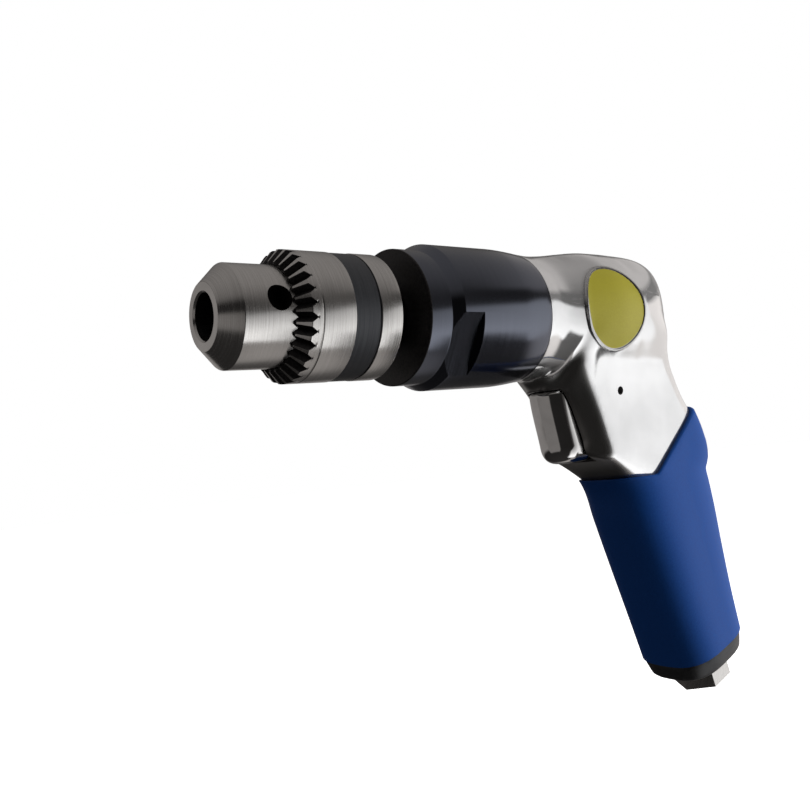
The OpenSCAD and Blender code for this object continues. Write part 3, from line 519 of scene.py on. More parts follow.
def follow_field(piece, field, tolerance=0.02):
    """Shading normals of a field wherever a piece's points lie on it, and plain smooth shading elsewhere."""
    smooth(piece)
    mesh = piece.data
    points = np.empty(len(mesh.vertices) * 3)
    mesh.vertices.foreach_get("co", points)
    points = points.reshape(-1, 3) / MM
    on_skin = np.abs(field(points)) < tolerance
    normals = slope_of(field, points)
    normals /= np.linalg.norm(normals, axis=1)[:, None]
    loops = np.empty(len(mesh.loops) * 3, np.float32)
    mesh.corner_normals.foreach_get("vector", loops)
    loops = loops.reshape(-1, 3)
    corner = np.empty(len(mesh.loops), np.int32)
    mesh.loops.foreach_get("vertex_index", corner)
    sizes = np.empty(len(mesh.polygons), np.int32)
    mesh.polygons.foreach_get("loop_total", sizes)
    facing = np.empty(len(mesh.polygons) * 3, np.float32)
    mesh.polygons.foreach_get("normal", facing)
    face_of = np.repeat(np.arange(len(sizes)), sizes)
    whole = np.bincount(face_of, on_skin[corner]) == sizes
    turned_out = (normals[corner] * facing.reshape(-1, 3)[face_of]).sum(1) > FACING
    follows = whole[face_of] & turned_out
    loops[follows] = normals[corner[follows]]
    mesh.normals_split_custom_set(loops.tolist())


# Finishes, by name
FINISHES = {}
GRAIN_SPAN = (0.3, 0.7)


def mapped(tree, source, span, ends, kind="LINEAR"):
    """A value carried from one span to another."""
    step = tree.nodes.new("ShaderNodeMapRange")
    step.interpolation_type = kind
    for socket, value in zip(("From Min", "From Max", "To Min", "To Max"), (*span, *ends)):
        step.inputs[socket].default_value = value
    tree.links.new(source, step.inputs["Value"])
    return step.outputs["Result"]


def finish(name, color, metallic, roughness, **sockets):
    """A new material with its own shader, and constant values on the shader's sockets."""
    material = bpy.data.materials.new(name)
    material.use_nodes = True
    shader = material.node_tree.nodes["Principled BSDF"]
    shader.inputs["Base Color"].default_value = (*color, 1)
    shader.inputs["Metallic"].default_value = metallic
    shader.inputs["Roughness"].default_value = roughness
    for socket, value in sockets.items():
        shader.inputs[socket.replace("_", " ")].default_value = value
    return material


def grain(material, scale, detail=4, roughness=0.55):
    """Noise over a material in the piece's own metres, by one scale or a scale for each axis."""
    nodes, links = material.node_tree.nodes, material.node_tree.links
    place = nodes.new("ShaderNodeTexCoord")
    stretch = nodes.new("ShaderNodeMapping")
    stretch.inputs["Scale"].default_value = scale if isinstance(scale, tuple) else (scale,) * 3
    noise = nodes.new("ShaderNodeTexNoise")
    noise.inputs["Scale"].default_value = 1
    noise.inputs["Detail"].default_value = detail
    noise.inputs["Roughness"].default_value = roughness
    links.new(place.outputs["Object"], stretch.inputs["Vector"])
    links.new(stretch.outputs["Vector"], noise.inputs["Vector"])
    return noise.outputs["Fac"]


def tint(material, source, low, high):
    """Base colour between two colours, by a noise."""
    nodes, links = material.node_tree.nodes, material.node_tree.links
    colors = nodes.new("ShaderNodeValToRGB")
    for stop, place, color in zip(colors.color_ramp.elements, GRAIN_SPAN, (low, high)):
        stop.position = place
        stop.color = (*color, 1)
    links.new(source, colors.inputs["Fac"])
    links.new(colors.outputs["Color"], nodes["Principled BSDF"].inputs["Base Color"])


def polish(material, source, low, high):
    """Roughness between two values, by a noise."""
    tree = material.node_tree
    values = mapped(tree, source, GRAIN_SPAN, (low, high))
    tree.links.new(values, tree.nodes["Principled BSDF"].inputs["Roughness"])


def relief(material, source, height):
    """Fine bumps by a noise, of a height in millimetres."""
    nodes, links = material.node_tree.nodes, material.node_tree.links
    bump = nodes.new("ShaderNodeBump")
    bump.inputs["Distance"].default_value = height * MM
    bump.inputs["Strength"].default_value = 1
    links.new(source, bump.inputs["Height"])
    links.new(bump.outputs["Normal"], nodes["Principled BSDF"].inputs["Normal"])


def brushed_round(material):
    """Highlights drawn out across the marks of a lathe."""
    nodes, links = material.node_tree.nodes, material.node_tree.links
    tangent = nodes.new("ShaderNodeTangent")
    tangent.direction_type = "RADIAL"
    tangent.axis = "X"
    links.new(tangent.outputs["Tangent"], nodes["Principled BSDF"].inputs["Tangent"])


def shaded_dull_front(material, reach, color, roughness):
    """Painted shade on the faces that look to the front: a darker colour, with a rougher finish, from one slope
    to another.
    """
    nodes, links = material.node_tree.nodes, material.node_tree.links
    shader = nodes["Principled BSDF"]
    place = nodes.new("ShaderNodeTexCoord")
    split = nodes.new("ShaderNodeSeparateXYZ")
    links.new(place.outputs["Normal"], split.inputs["Vector"])
    share = mapped(material.node_tree, split.outputs["X"], reach, (1, 0), "SMOOTHSTEP")
    for socket, kind, darker_rougher in (("Base Color", "RGBA", (*color, 1)), ("Roughness", "FLOAT", roughness)):
        mix = nodes.new("ShaderNodeMix")
        mix.data_type = kind
        ends = {i.identifier: i for i in mix.inputs}
        result = {o.identifier: o for o in mix.outputs}
        suffix = "Color" if kind == "RGBA" else "Float"
        links.new(share, ends["Factor_Float"])
        links.new(shader.inputs[socket].links[0].from_socket, ends["A_" + suffix])
        ends["B_" + suffix].default_value = darker_rougher
        links.new(result["Result_" + suffix], shader.inputs[socket])


def grained(name, color, metallic, roughness, scale, colors, shine=None, bumps=None,
            detail=5, noise=0.55, **sockets):
    """A finish with a grain: two colours, two roughnesses, and bumps of a height in millimetres."""
    material = finish(name, color, metallic, roughness, **sockets)
    source = grain(material, scale, detail, noise)
    tint(material, source, *colors)
    if shine:
        polish(material, source, *shine)
    if bumps:
        relief(material, source, bumps)
    FINISHES[name] = material
    return material


TURNING = (7000, 45, 45)

steel = grained("satin_steel", (0.6, 0.585, 0.57), 1, 0.24, TURNING,
                ((0.5, 0.485, 0.47), (0.68, 0.665, 0.65)), (0.18, 0.27), 0.006,
                detail=6, noise=0.6, Anisotropic=0.6, Anisotropic_Rotation=0.25)
brushed_round(steel)
grained("dark_steel", (0.09, 0.088, 0.088), 1, 0.4, (2600, 300, 300),
        ((0.06, 0.058, 0.058), (0.14, 0.135, 0.13)), (0.32, 0.5), 0.004)
# Painted shade: a near-black put on the chuck's holes and tooth spaces and on the gear case's front face, where
# shade falls
painted_shade_black = grained("painted_shade_black", (0.02, 0.019, 0.019), 0.7, 0.42, 1800,
                      ((0.012, 0.011, 0.012), (0.045, 0.042, 0.042)), (0.34, 0.52))
band_grey = grained("band_grey", (0.035, 0.037, 0.042), 0.6, 0.42, (5200, 60, 60),
                    ((0.026, 0.028, 0.032), (0.055, 0.057, 0.063)), (0.36, 0.5))
black = grained("black_anodised", (0.125, 0.135, 0.165), 1, 0.16, (3800, 40, 40),
                ((0.118, 0.127, 0.156), (0.132, 0.142, 0.174)), (0.14, 0.19), 0.0012,
                Anisotropic=0.4, Anisotropic_Rotation=0.25)
brushed_round(black)
cap_black = grained("cap_black", (0.02, 0.021, 0.023), 0, 0.45, 900,
                    ((0.014, 0.015, 0.017), (0.032, 0.033, 0.036)), (0.38, 0.55), 0.02)

aluminium = grained("polished_aluminium", (0.78, 0.78, 0.785), 0.84, 0.12, 60,
                    ((0.72, 0.72, 0.725), (0.83, 0.83, 0.835)), bumps=0.05, detail=3, noise=0.5)
polish(aluminium, grain(aluminium, (520, 2600, 420), 5, 0.6), 0.06, 0.11)
# Painted shade: faces that look to the front get a darker colour, and a rougher finish
shaded_dull_front(aluminium, (-0.5, -0.2), (0.24, 0.235, 0.23), 0.33)

grained("plain_aluminium", (0.6, 0.61, 0.63), 1, 0.35, TURNING,
        ((0.5, 0.51, 0.53), (0.66, 0.67, 0.69)), (0.28, 0.42))
grained("grey_iron", (0.3, 0.3, 0.305), 1, 0.45, 1500,
        ((0.24, 0.24, 0.245), (0.36, 0.36, 0.365)), (0.38, 0.52))
chrome = grained("trigger_chrome", (0.62, 0.61, 0.605), 1, 0.08, 160,
                 ((0.56, 0.55, 0.545), (0.66, 0.65, 0.645)), (0.05, 0.12), detail=4)
grained("bearing_steel", (0.72, 0.72, 0.735), 1, 0.12, TURNING,
        ((0.66, 0.66, 0.675), (0.76, 0.76, 0.775)), (0.09, 0.17), detail=4)
spring_steel = grained("spring_steel", (0.45, 0.45, 0.465), 1, 0.28, 2400,
                       ((0.38, 0.38, 0.395), (0.52, 0.52, 0.535)), (0.22, 0.36), detail=4)
blue = grained("blue_grip", (0.007, 0.06, 0.27), 0, 0.5, 1400,
               ((0.006, 0.054, 0.25), (0.009, 0.066, 0.29)), (0.45, 0.56), 0.012, Specular_IOR_Level=0.12)
yellow = grained("badge_yellow", (0.36, 0.32, 0.022), 0, 0.45, 1500,
                 ((0.345, 0.305, 0.019), (0.375, 0.335, 0.025)), (0.4, 0.5), detail=4, Specular_IOR_Level=0.3)
rim = grained("badge_rim", (0.6, 0.6, 0.6), 1, 0.22, 900,
              ((0.52, 0.52, 0.52), (0.66, 0.66, 0.66)), (0.16, 0.3), detail=4)
grained("valve_brass", (0.62, 0.42, 0.14), 1, 0.28, TURNING,
        ((0.54, 0.36, 0.11), (0.68, 0.47, 0.17)), (0.22, 0.36), detail=4)
grained("seal_rubber", (0.018, 0.018, 0.018), 0, 0.6, 1600,
        ((0.013, 0.013, 0.013), (0.026, 0.026, 0.026)), (0.52, 0.68), detail=4)
grained("silencer_felt", (0.26, 0.25, 0.21), 0, 0.9, 1300,
        ((0.18, 0.17, 0.145), (0.34, 0.325, 0.28)), bumps=0.15, detail=6, noise=0.7)
grained("vane_fibre", (0.2, 0.12, 0.06), 0, 0.6, (200, 2600, 2600),
        ((0.15, 0.09, 0.045), (0.26, 0.16, 0.085)), (0.52, 0.68))

for part in frame["record"]["subparts"]:
    node = frame["nodes"][part["node"]]
    node.data.materials.clear()
    node.data.materials.append(FINISHES[part["material_slot"]])
# The trigger pin gets the same near-black as the painted shade in the holes
frame["nodes"]["trigger_pin"].data.materials[0] = painted_shade_black


def wear(piece, *finishes):
    """Gives a piece its finishes. The first covers it all until some faces are painted."""
    piece.data.materials.clear()
    for material in finishes:
        piece.data.materials.append(material)
    for face in piece.data.polygons:
        face.material_index = 0


def paint(piece, index, test):
    """Gives a finish to the faces whose centre, in millimetres, passes a test of x and radius."""
    for face in piece.data.polygons:
        x, y, z = (c / MM for c in face.center)
        if test(x, math.hypot(y, z)):
            face.material_index = index


def stands_for(piece, node, body):
    """Puts a piece in the place of a CAD node."""
    piece.name = node + "_skin"
    piece.data.name = piece.name
    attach(piece, body)
    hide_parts(node)


# Chuck

def jaw_crest(x):
    """Radius that the backs of the jaws reach at a place along the spindle."""
    return JAW_TIP_R + x * math.tan(JAW_ANGLE) + JAW_R / math.cos(JAW_ANGLE)


def make_chuck_body():
    outline = [(0, 0), (FACE_R, 0), (NOSE_R, NOSE_R - FACE_R), (NOSE_R, GROOVE_FRONT),
               (jaw_crest(GROOVE_FRONT) - JAW_SHOW, GROOVE_FRONT),
               (jaw_crest(GROOVE_END) - JAW_SHOW, GROOVE_END), (SHOULDER_R, GROOVE_END), (SHOULDER_R, BODY_END),
               (HUB_R, BODY_END), (HUB_R, CHUCK_LEN), (0, CHUCK_LEN)]
    piece = turned("chuck_body", eased(outline, BODY_EASE))
    rim_r, deep_r = MOUTH_R + MOUTH_BEVEL, MOUTH_R - MOUTH_STEP
    mouth = [(0, -OVER), (rim_r, -OVER), (rim_r, 0), (MOUTH_R, MOUTH_BEVEL), (MOUTH_R, MOUTH_LEN),
             (deep_r, MOUTH_LEN), (deep_r, MOUTH_DEPTH), (0, MOUTH_DEPTH)]
    cutters = [turned("cutter", eased(mouth, MOUTH_EASE), segments=120),
               rod((CHUCK_LEN - SOCKET_DEPTH, 0, 0), (1, 0, 0), THREAD_R, SOCKET_DEPTH + OVER)]
    for k in range(JAW_COUNT):
        out = radial(JAW_CLOCK + k * 360 / JAW_COUNT)
        way = Vector((math.cos(JAW_ANGLE), 0, 0)) + out * math.sin(JAW_ANGLE)
        cutters.append(rod(out * JAW_TIP_R - way, way, JAW_HOLE_R, JAW_HOLE_LEN, segments=48))
        out = radial(KEY_CLOCK + k * 360 / JAW_COUNT)
        start = Vector((KEY_X, 0, 0)) + out * (NOSE_R - KEY_DEPTH)
        cutters.append(rod(start, out, KEY_R, KEY_DEPTH + 2 * OVER, segments=48))

    def in_hole(x, r):
        in_key = r < NOSE_R - KEY_RIM and abs(x - KEY_X) < KEY_R + HOLE_MARGIN
        return in_key or (r < MOUTH_R + HOLE_MARGIN and x > MOUTH_RIM)

    cut(piece, *cutters)
    smooth(piece)
    wear(piece, steel, painted_shade_black)
    # Painted shade: the key holes and the mouth get the near-black finish
    paint(piece, 1, in_hole)
    stands_for(piece, "chuck_body", "spindle")


BEVEL_ANGLE = math.atan((SLEEVE_R - BEVEL_FRONT_R) / TEETH_LEN)
NOTCH_END = TEETH_FRONT + TEETH_LEN + TOOTH_RUN_OUT


def notch_radius(x, angle):
    """Radius of a tooth space's flank at a place along the sleeve and an angle from the space's middle."""
    root = SLEEVE_R * math.cos(BEVEL_ANGLE) - (NOTCH_END - x) * math.sin(BEVEL_ANGLE)
    return TOOTH_SLOPE * root / (TOOTH_SLOPE * math.cos(BEVEL_ANGLE) * math.cos(angle) - abs(math.sin(angle)))


def notch_front(angle):
    """Place along the sleeve where a tooth space reaches the bore of the lip."""
    reach = (TOOTH_SLOPE * math.cos(BEVEL_ANGLE) * math.cos(angle) - abs(math.sin(angle))) / TOOTH_SLOPE
    root = SLEEVE_LIP_R * reach
    return NOTCH_END - (SLEEVE_R * math.cos(BEVEL_ANGLE) - root) / math.sin(BEVEL_ANGLE)


def notch_edge(x, r):
    """Angle from a tooth space's middle to the land beside it."""
    low, high = 0.0, math.pi / TOOTH_COUNT
    for _ in range(40):
        angle = (low + high) / 2
        low, high = (angle, high) if notch_radius(x, angle) < r else (low, angle)
    return low


def make_chuck_sleeve():
    band_r, groove_r = SLEEVE_R - BAND_DEPTH, SLEEVE_R - 3 * BAND_DEPTH
    groove_x = BAND_X[1] - BAND_GROOVE_W
    outside = [(BEVEL_FRONT_R, TEETH_FRONT), (SLEEVE_R, TEETH_FRONT + TEETH_LEN),
               (SLEEVE_R, SEAM_X - SEAM_W), (SLEEVE_R - SEAM_DEPTH, SEAM_X), (SLEEVE_R, SEAM_X + SEAM_W),
               (SLEEVE_R, BAND_X[0]), (band_r, BAND_X[0] + BAND_SLOPE),
               (band_r, groove_x - BAND_SLOPE), (groove_r, groove_x), (groove_r, BAND_X[1]),
               (SLEEVE_R, BAND_X[1]), (SLEEVE_R, SLEEVE_END)]
    inside = [(SLEEVE_BORE_R, SLEEVE_END), (SLEEVE_BORE_R, GROOVE_FRONT), (SLEEVE_LIP_R, GROOVE_FRONT),
              (SLEEVE_LIP_R, TEETH_FRONT)]
    rows = []
    outline = eased(outside + inside, SLEEVE_EASE)
    for (r0, x0), (r1, x1) in zip(outline, outline[1:] + outline[:1]):
        in_teeth = r0 > SLEEVE_LIP_R and r1 > SLEEVE_LIP_R and min(x0, x1) < NOTCH_END
        steps = max(1, math.ceil(abs(x1 - x0) / TOOTH_STEP)) if in_teeth else 1
        rows += [(r0 + (r1 - r0) * k / steps, x0 + (x1 - x0) * k / steps) for k in range(steps)]
    pitch = 2 * math.pi / TOOTH_COUNT
    points = []
    for r, x in rows:
        toothed = r > SLEEVE_LIP_R - LIP_MARGIN and x < NOTCH_END
        edge = max(notch_edge(x, r), LEAST_TOOTH_EDGE) if toothed else pitch / 4
        half = (0, edge / 2, edge, (edge + pitch / 2) / 2)
        for i in range(TOOTH_COUNT):
            for a in [*half, pitch / 2, *(pitch - h for h in half[:0:-1])]:
                near = min(a, pitch - a)
                here = (min(r, notch_radius(x, near)), x) if toothed else (r, x)
                if here[0] < SLEEVE_LIP_R:
                    here = (SLEEVE_LIP_R, max(x, notch_front(near)))
                clock = math.radians(TOOTH_CLOCK) + i * pitch + a
                points.append((here[1], -here[0] * math.cos(clock), here[0] * math.sin(clock)))
    piece = new_piece("chuck_sleeve", points, ring_faces(len(rows), len(points) // len(rows)))
    smooth(piece, angle=30)
    wear(piece, steel, painted_shade_black, band_grey)
    # Painted shade: the tooth spaces get the near-black finish; the band's dark grey after it is its own colour
    paint(piece, 1, lambda x, r: x < NOTCH_END and SLEEVE_LIP_R + LIP_RIM < r < sleeve_edge(x) - LAND_RIM)
    paint(piece, 2, lambda x, r: BAND_X[0] + BAND_SLOPE < x < BAND_X[1] and r > BAND_LEAST_R)
    stands_for(piece, "chuck_sleeve", "sleeve")


def sleeve_edge(x):
    """Radius of the lands of the sleeve's teeth."""
    return BEVEL_FRONT_R + (SLEEVE_R - BEVEL_FRONT_R) * min(1, (x - TEETH_FRONT) / TEETH_LEN)


# Gear case

def make_gear_case():
    outline = [(COLLAR_R, CASE_FRONT), (COLLAR_R, COLLAR_END), (CASE_R, SHOULDER_X)]
    for t in np.linspace(0, 1, TAPER_STEPS):
        x = TAPER_X + (JOINT_X - TAPER_X) * t
        outline.append((CASE_R - (CASE_R - JOINT_R) * t ** TAPER_POWER, x))
    outline += [(SPIGOT_R, JOINT_X), (SPIGOT_R, SPIGOT_END)]
    end = SPIGOT_END
    for r, x in CASE_BORES:
        outline += [(r, end), (r, x)]
        end = x
    outline[-1] = (CASE_BORES[-1][0], CASE_FRONT)
    piece = turned("gear_case", eased(outline, CASE_EASE), segments=200)
    for side in (0, 180):
        turn = Matrix.Rotation(-math.radians(FLAT_CLOCK + side), 4, "X")
        low = (FLAT_X[0], -CASE_R - FLAT_REACH, -CASE_R)
        high = (FLAT_X[1], -FLAT_REACH, CASE_R)
        cut(piece, placed(block(low, high), turn))
    ease_edges(piece, CASE_EDGE)
    smooth(piece, angle=18)
    wear(piece, black, painted_shade_black)
    # Painted shade: the front face, in the gap behind the sleeve, gets the near-black finish
    paint(piece, 1, lambda x, r: x < CASE_FRONT + FACE_RIM)
    stands_for(piece, "gear_case", "frame")


# Housing and handle

def barrel_field(p):
    """Distance-like field of the barrel and its rounded rear end."""
    x, y, z = p.T
    share = (x - JOINT_X) / BARREL_LEN
    r = BARREL_R * spline(share, BARREL_LEN_SHARES, BARREL_R_SHARES)
    s = np.maximum(share - TAIL_START_SHARE, 0) / (TAIL_CLOSE_SHARE - TAIL_START_SHARE)
    k = 2 + (TAIL_POWER - 2) * ramp(s, *TAIL_POWER_REACH)
    low = 1 - (1 - TAIL_LOW_SHARE) * ramp(s, *TAIL_LOW_REACH)
    up = np.abs(z) / (r * np.where(z < 0, low, 1))
    flat = np.sqrt(s * s + (y / r) ** 2)
    return r * ((flat ** k + up ** k) ** (1 / k) - 1)


def handle_line(share):
    """Middle, half depth, half width, tilt and corner power of the handle at a share of its height."""
    front = HANDLE_X + HANDLE_DEPTH * spline(share, DROP_SHARES, FRONT_SHARES)
    rear = HANDLE_X + HANDLE_DEPTH * spline(share, DROP_SHARES, REAR_SHARES)
    half = HANDLE_W / 2 * spline(share, DROP_SHARES, WIDTH_SHARES)
    tilt = FOOT_TILT * np.maximum(share - TILT_START_SHARE, 0) / (1 - TILT_START_SHARE)
    power = np.interp(share, POWER_SHARES, HANDLE_POWERS)
    return (front + rear) / 2, (rear - front) / 2, half, tilt, power


def handle_field(p):
    """Distance-like field of the handle, with slanted corners beside the trigger."""
    x, y, z = p.T
    share = -z / HANDLE_LEN
    for _ in range(4):
        middle, depth, half, tilt, power = handle_line(np.clip(share, 0, 1))
        u = (x - middle) / np.cos(tilt)
        share = (u * np.sin(tilt) - z) / HANDLE_LEN
    side = half * (((np.abs(u) / depth) ** power + (np.abs(y) / half) ** power) ** (1 / power) - 1)
    corner = HANDLE_X + HANDLE_DEPTH * spline(-z / HANDLE_LEN, CORNER_DROP_SHARES, CORNER_SHARES)
    slant = (np.abs(y) - half - x + corner) / math.sqrt(2)
    return round_max(side, slant, CORNER_ROUND)


def hood_field(p):
    """Field of the hood over the trigger, a short column with a round front."""
    x, y, z = p.T
    front = TRIGGER_X + TRIGGER_W / 2
    side = np.where(x < front, np.hypot(x - front, y), np.abs(y)) - TRIGGER_W / 2 - HOOD_LAP
    side = np.maximum(side, x - TRIGGER_END)
    return round_max(side, np.maximum(HOOD_Z[0] - z, z - HOOD_Z[1]), HOOD_ROUND)


def housing_field(p):
    """Field of the whole casting: barrel, hood and handle run together."""
    handle = np.maximum(handle_field(p), p[:, 2] - HANDLE_CEILING)
    return round_min(round_min(barrel_field(p), hood_field(p), HOOD_BLEND_R), handle, BLEND_R)


def make_housing():
    piece = surface_net("motor_housing", housing_field, NET_LOW, NET_HIGH, NET_CELL)
    front, spigot_r = JOINT_X - FRONT_CUT, SPIGOT_R + SPIGOT_GAP
    bores = [(0, front), (2 * BARREL_R, front), (2 * BARREL_R, JOINT_X), (spigot_r, JOINT_X),
             (spigot_r, SPIGOT_END), (MOTOR_BORE_R, SPIGOT_END), (MOTOR_BORE_R, MOTOR_BORE_END),
             (0, MOTOR_BORE_END)]
    wide = TRIGGER_W / 2 + TRIGGER_GAP
    tongue = TONGUE_W / 2 + TRIGGER_GAP
    tongue_half = TONGUE_H / 2 + TRIGGER_GAP
    tongue_end = TRIGGER_END + TONGUE_LEN + TRIGGER_TRAVEL + TRIGGER_GAP
    cut(piece,
        turned("cutter", bores, segments=120),
        block((TRIGGER_X - OVER, -wide, -TRIGGER_BOTTOM - TRIGGER_GAP), (RECESS_END, wide, -RECESS_TOP)),
        block((TONGUE_X - TRIGGER_GAP, -tongue, -TONGUE_Z - tongue_half),
              (tongue_end, tongue, -TONGUE_Z + tongue_half)),
        rod((PIN_X, -BARREL_R, -TONGUE_Z), (0, 1, 0), PIN_R, 2 * BARREL_R, segments=40),
        rod((RECESS_END - OVER, 0, -VALVE_Z), (1, 0, 0), BUSH_R, VALVE_END - RECESS_END + OVER))
    cut(piece,
        placed(block((-FOOT_CUT, -FOOT_CUT, -FOOT_CUT), (FOOT_CUT, FOOT_CUT, 0)), FOOT_TURN),
        rod(Vector(FOOT) + FOOT_OUT, -FOOT_OUT, INLET_THREAD_R, INLET_THREAD_LEN + OVER))
    follow_field(piece, housing_field)
    wear(piece, aluminium)
    stands_for(piece, "motor_housing", "frame")


def handle_points(share, a, grow):
    """Points of the handle's skin at shares of its height and angles round it."""
    share, a, grow = np.broadcast_arrays(*(np.asarray(v, float) for v in (share, a, grow)))
    middle, depth, half, tilt, power = handle_line(np.clip(share, 0, 1))
    c, s = np.cos(a), np.sin(a)
    reach = (np.abs(c) ** power + np.abs(s) ** power) ** (-1 / power)
    u = (depth + grow) * c * reach
    return np.stack((middle + u * np.cos(tilt), (half + grow) * s * reach,
                     u * np.sin(tilt) - HANDLE_LEN * share), -1)


def grip_start(a):
    """Shares of the handle's height where the grip begins, at angles round the handle."""
    low, high = (np.full_like(a, share) for share in GRIP_START_REACH)
    for _ in range(30):
        share = (low + high) / 2
        x, _, z = handle_points(share, a, GRIP_T).T
        line = GRIP_TOP - np.clip((x - GRIP_BEND_X) * GRIP_SLOPE, 0, GRIP_RISE)
        above = -z < line
        low, high = np.where(above, share, low), np.where(above, high, share)
    return (low + high) / 2


def make_grip():
    around, rows, lip = 160, 44, 6
    a = angles(around)
    lip_share = GRIP_T / 2 / HANDLE_LEN
    start = grip_start(a) + lip_share
    outer = [(start + (1 - start) * i / rows, GRIP_T) for i in range(rows, -1, -1)]
    bend = [math.pi * i / lip for i in range(1, lip)]
    top = [(start - lip_share * math.sin(b), (GRIP_T + GRIP_GAP) / 2 + (GRIP_T - GRIP_GAP) / 2 * math.cos(b))
           for b in bend]
    inner = [(start + (1 - start) * i / rows, GRIP_GAP) for i in range(0, rows + 1, 4)]
    loops = [handle_points(share, a, grow) for share, grow in outer + top + inner]
    piece = new_piece("grip_sleeve", np.concatenate(loops).tolist(), ring_faces(len(loops), around))
    smooth(piece, angle=50)
    wear(piece, blue)
    stands_for(piece, "grip_sleeve", "frame")


def make_cap():
    around = 120
    a = angles(around)
    loops = [handle_points(1, a, CAP_GROW + grow) + np.array(FOOT_OUT) * CAP_T * share
             for share, grow in CAP_LEVELS]
    points = np.concatenate(loops).tolist()
    piece = new_piece("exhaust_cap", points, ring_faces(len(loops), around, closed=False, capped=True))
    cutters = [rod(Vector(FOOT) - FOOT_OUT, FOOT_OUT, CAP_HOLE_R, CAP_T + 2 * OVER)]
    for side in (-1, 1):
        for place in CAP_SLOT_PLACES:
            low = (side * place - CAP_SLOT[0] / 2, -CAP_SLOT[1] / 2, -CAP_T - OVER)
            high = (side * place + CAP_SLOT[0] / 2, CAP_SLOT[1] / 2, -CAP_T + CAP_SLOT_DEPTH)
            cutters.append(placed(block(low, high), FOOT_TURN))
    cut(piece, *cutters)
    smooth(piece, angle=30)
    wear(piece, cap_black)
    stands_for(piece, "exhaust_cap", "frame")


# Badge

def barrel_side(x, z):
    """Points of the housing's badge side at places along it, found on its field."""
    far, near = (np.full_like(x, y) for y in BADGE_SIDE_Y)
    for _ in range(40):
        y = (far + near) / 2
        outside = housing_field(np.stack((x, y, z), 1)) > 0
        far, near = np.where(outside, y, far), np.where(outside, near, y)
    return np.stack((x, far, z), 1)


def make_badge():
    around = 96
    a = np.tile(angles(around), len(BADGE_RINGS))
    share, height = (np.repeat(v, around) for v in np.array(BADGE_RINGS).T)
    at = barrel_side(BADGE_X + BADGE_HALF[0] * share * np.cos(a), BADGE_HALF[1] * share * np.sin(a))
    normal = slope_of(housing_field, at)
    normal /= np.linalg.norm(normal, axis=1)[:, None]
    points = (at + normal * (BADGE_GAP + BADGE_T * height)[:, None]).tolist()
    piece = new_piece("badge", points, ring_faces(len(BADGE_RINGS), around, closed=False))
    smooth(piece, angle=60)
    wear(piece, rim, yellow)
    for face in piece.data.polygons:
        middle = face.center / MM
        share = math.hypot((middle.x - BADGE_X) / BADGE_HALF[0], middle.z / BADGE_HALF[1])
        face.material_index = int(share < BADGE_RIM_SHARE)
    stands_for(piece, "badge", "frame")


# Trigger

def trigger_field(p):
    """Field of the trigger's block: a round front that leans back, with soft edges."""
    x, y, z = p.T
    lean = TRIGGER_LEAN * ramp(-z, TRIGGER_TOP, TRIGGER_BOTTOM)
    half = TRIGGER_W / 2
    front = TRIGGER_X + lean + half
    nose = np.where(x < front, np.hypot(x - front, y), np.abs(y)) - half
    body = round_max(nose, z + TRIGGER_TOP, TRIGGER_ROUND)
    body = round_max(body, -z - TRIGGER_BOTTOM, 2 * TRIGGER_FOOT_ROUND)
    return round_max(body, x - TRIGGER_END, TRIGGER_ROUND)


def make_trigger():
    piece = surface_net("trigger", trigger_field, (TRIGGER_X, -TRIGGER_W / 2, -TRIGGER_BOTTOM),
                        (TRIGGER_END, TRIGGER_W / 2, -TRIGGER_TOP), TRIGGER_CELL)
    tongue = block((TONGUE_X, -TONGUE_W / 2, -TONGUE_Z - TONGUE_H / 2),
                   (TRIGGER_END + TONGUE_LEN, TONGUE_W / 2, -TONGUE_Z + TONGUE_H / 2))
    joined("UNION", piece, tongue)
    half = PIN_R + TRIGGER_GAP
    low, high = PIN_X - TRIGGER_TRAVEL, PIN_X
    cut(piece,
        block((low, -TRIGGER_W, -TONGUE_Z - half), (high, TRIGGER_W, -TONGUE_Z + half)),
        rod((low, -TRIGGER_W, -TONGUE_Z), (0, 1, 0), half, 2 * TRIGGER_W, segments=40),
        rod((high, -TRIGGER_W, -TONGUE_Z), (0, 1, 0), half, 2 * TRIGGER_W, segments=40),
        rod((STEM_FRONT, 0, -VALVE_Z), (1, 0, 0), STEM_HOLE_R, TRIGGER_END - STEM_FRONT + OVER, segments=40))
    follow_field(piece, trigger_field)
    wear(piece, chrome)
    stands_for(piece, "trigger", "trigger")


# Valve spring, made at its rest length; the real one shortens as the trigger goes in

def make_spring():
    around, rings = 12, 32
    steps = np.arange(SPRING_TURNS * rings + 1) / rings
    clock = angles(around)
    turn, a = np.meshgrid(steps, clock, indexing="ij")
    rise = (SPRING_LEN - 2 * (WIRE_R + SPRING_GAP)) / SPRING_TURNS
    x = VALVE_END - SPRING_LEN + SPRING_GAP + WIRE_R + rise * turn + WIRE_R * np.sin(a)
    r = SPRING_R + WIRE_R * np.cos(a)
    angle = 2 * math.pi * turn
    points = np.stack((x, r * np.cos(angle), r * np.sin(angle) - VALVE_Z), -1).reshape(-1, 3)
    faces = ring_faces(len(steps), around, closed=False, capped=True)
    piece = new_piece("valve_spring", points.tolist(), faces)
    smooth(piece, angle=50)
    wear(piece, spring_steel)
    stands_for(piece, "valve_spring", "frame")
    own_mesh(piece)


make_chuck_body()
make_chuck_sleeve()
make_gear_case()
make_housing()
make_grip()
make_cap()
make_badge()
make_trigger()
make_spring()

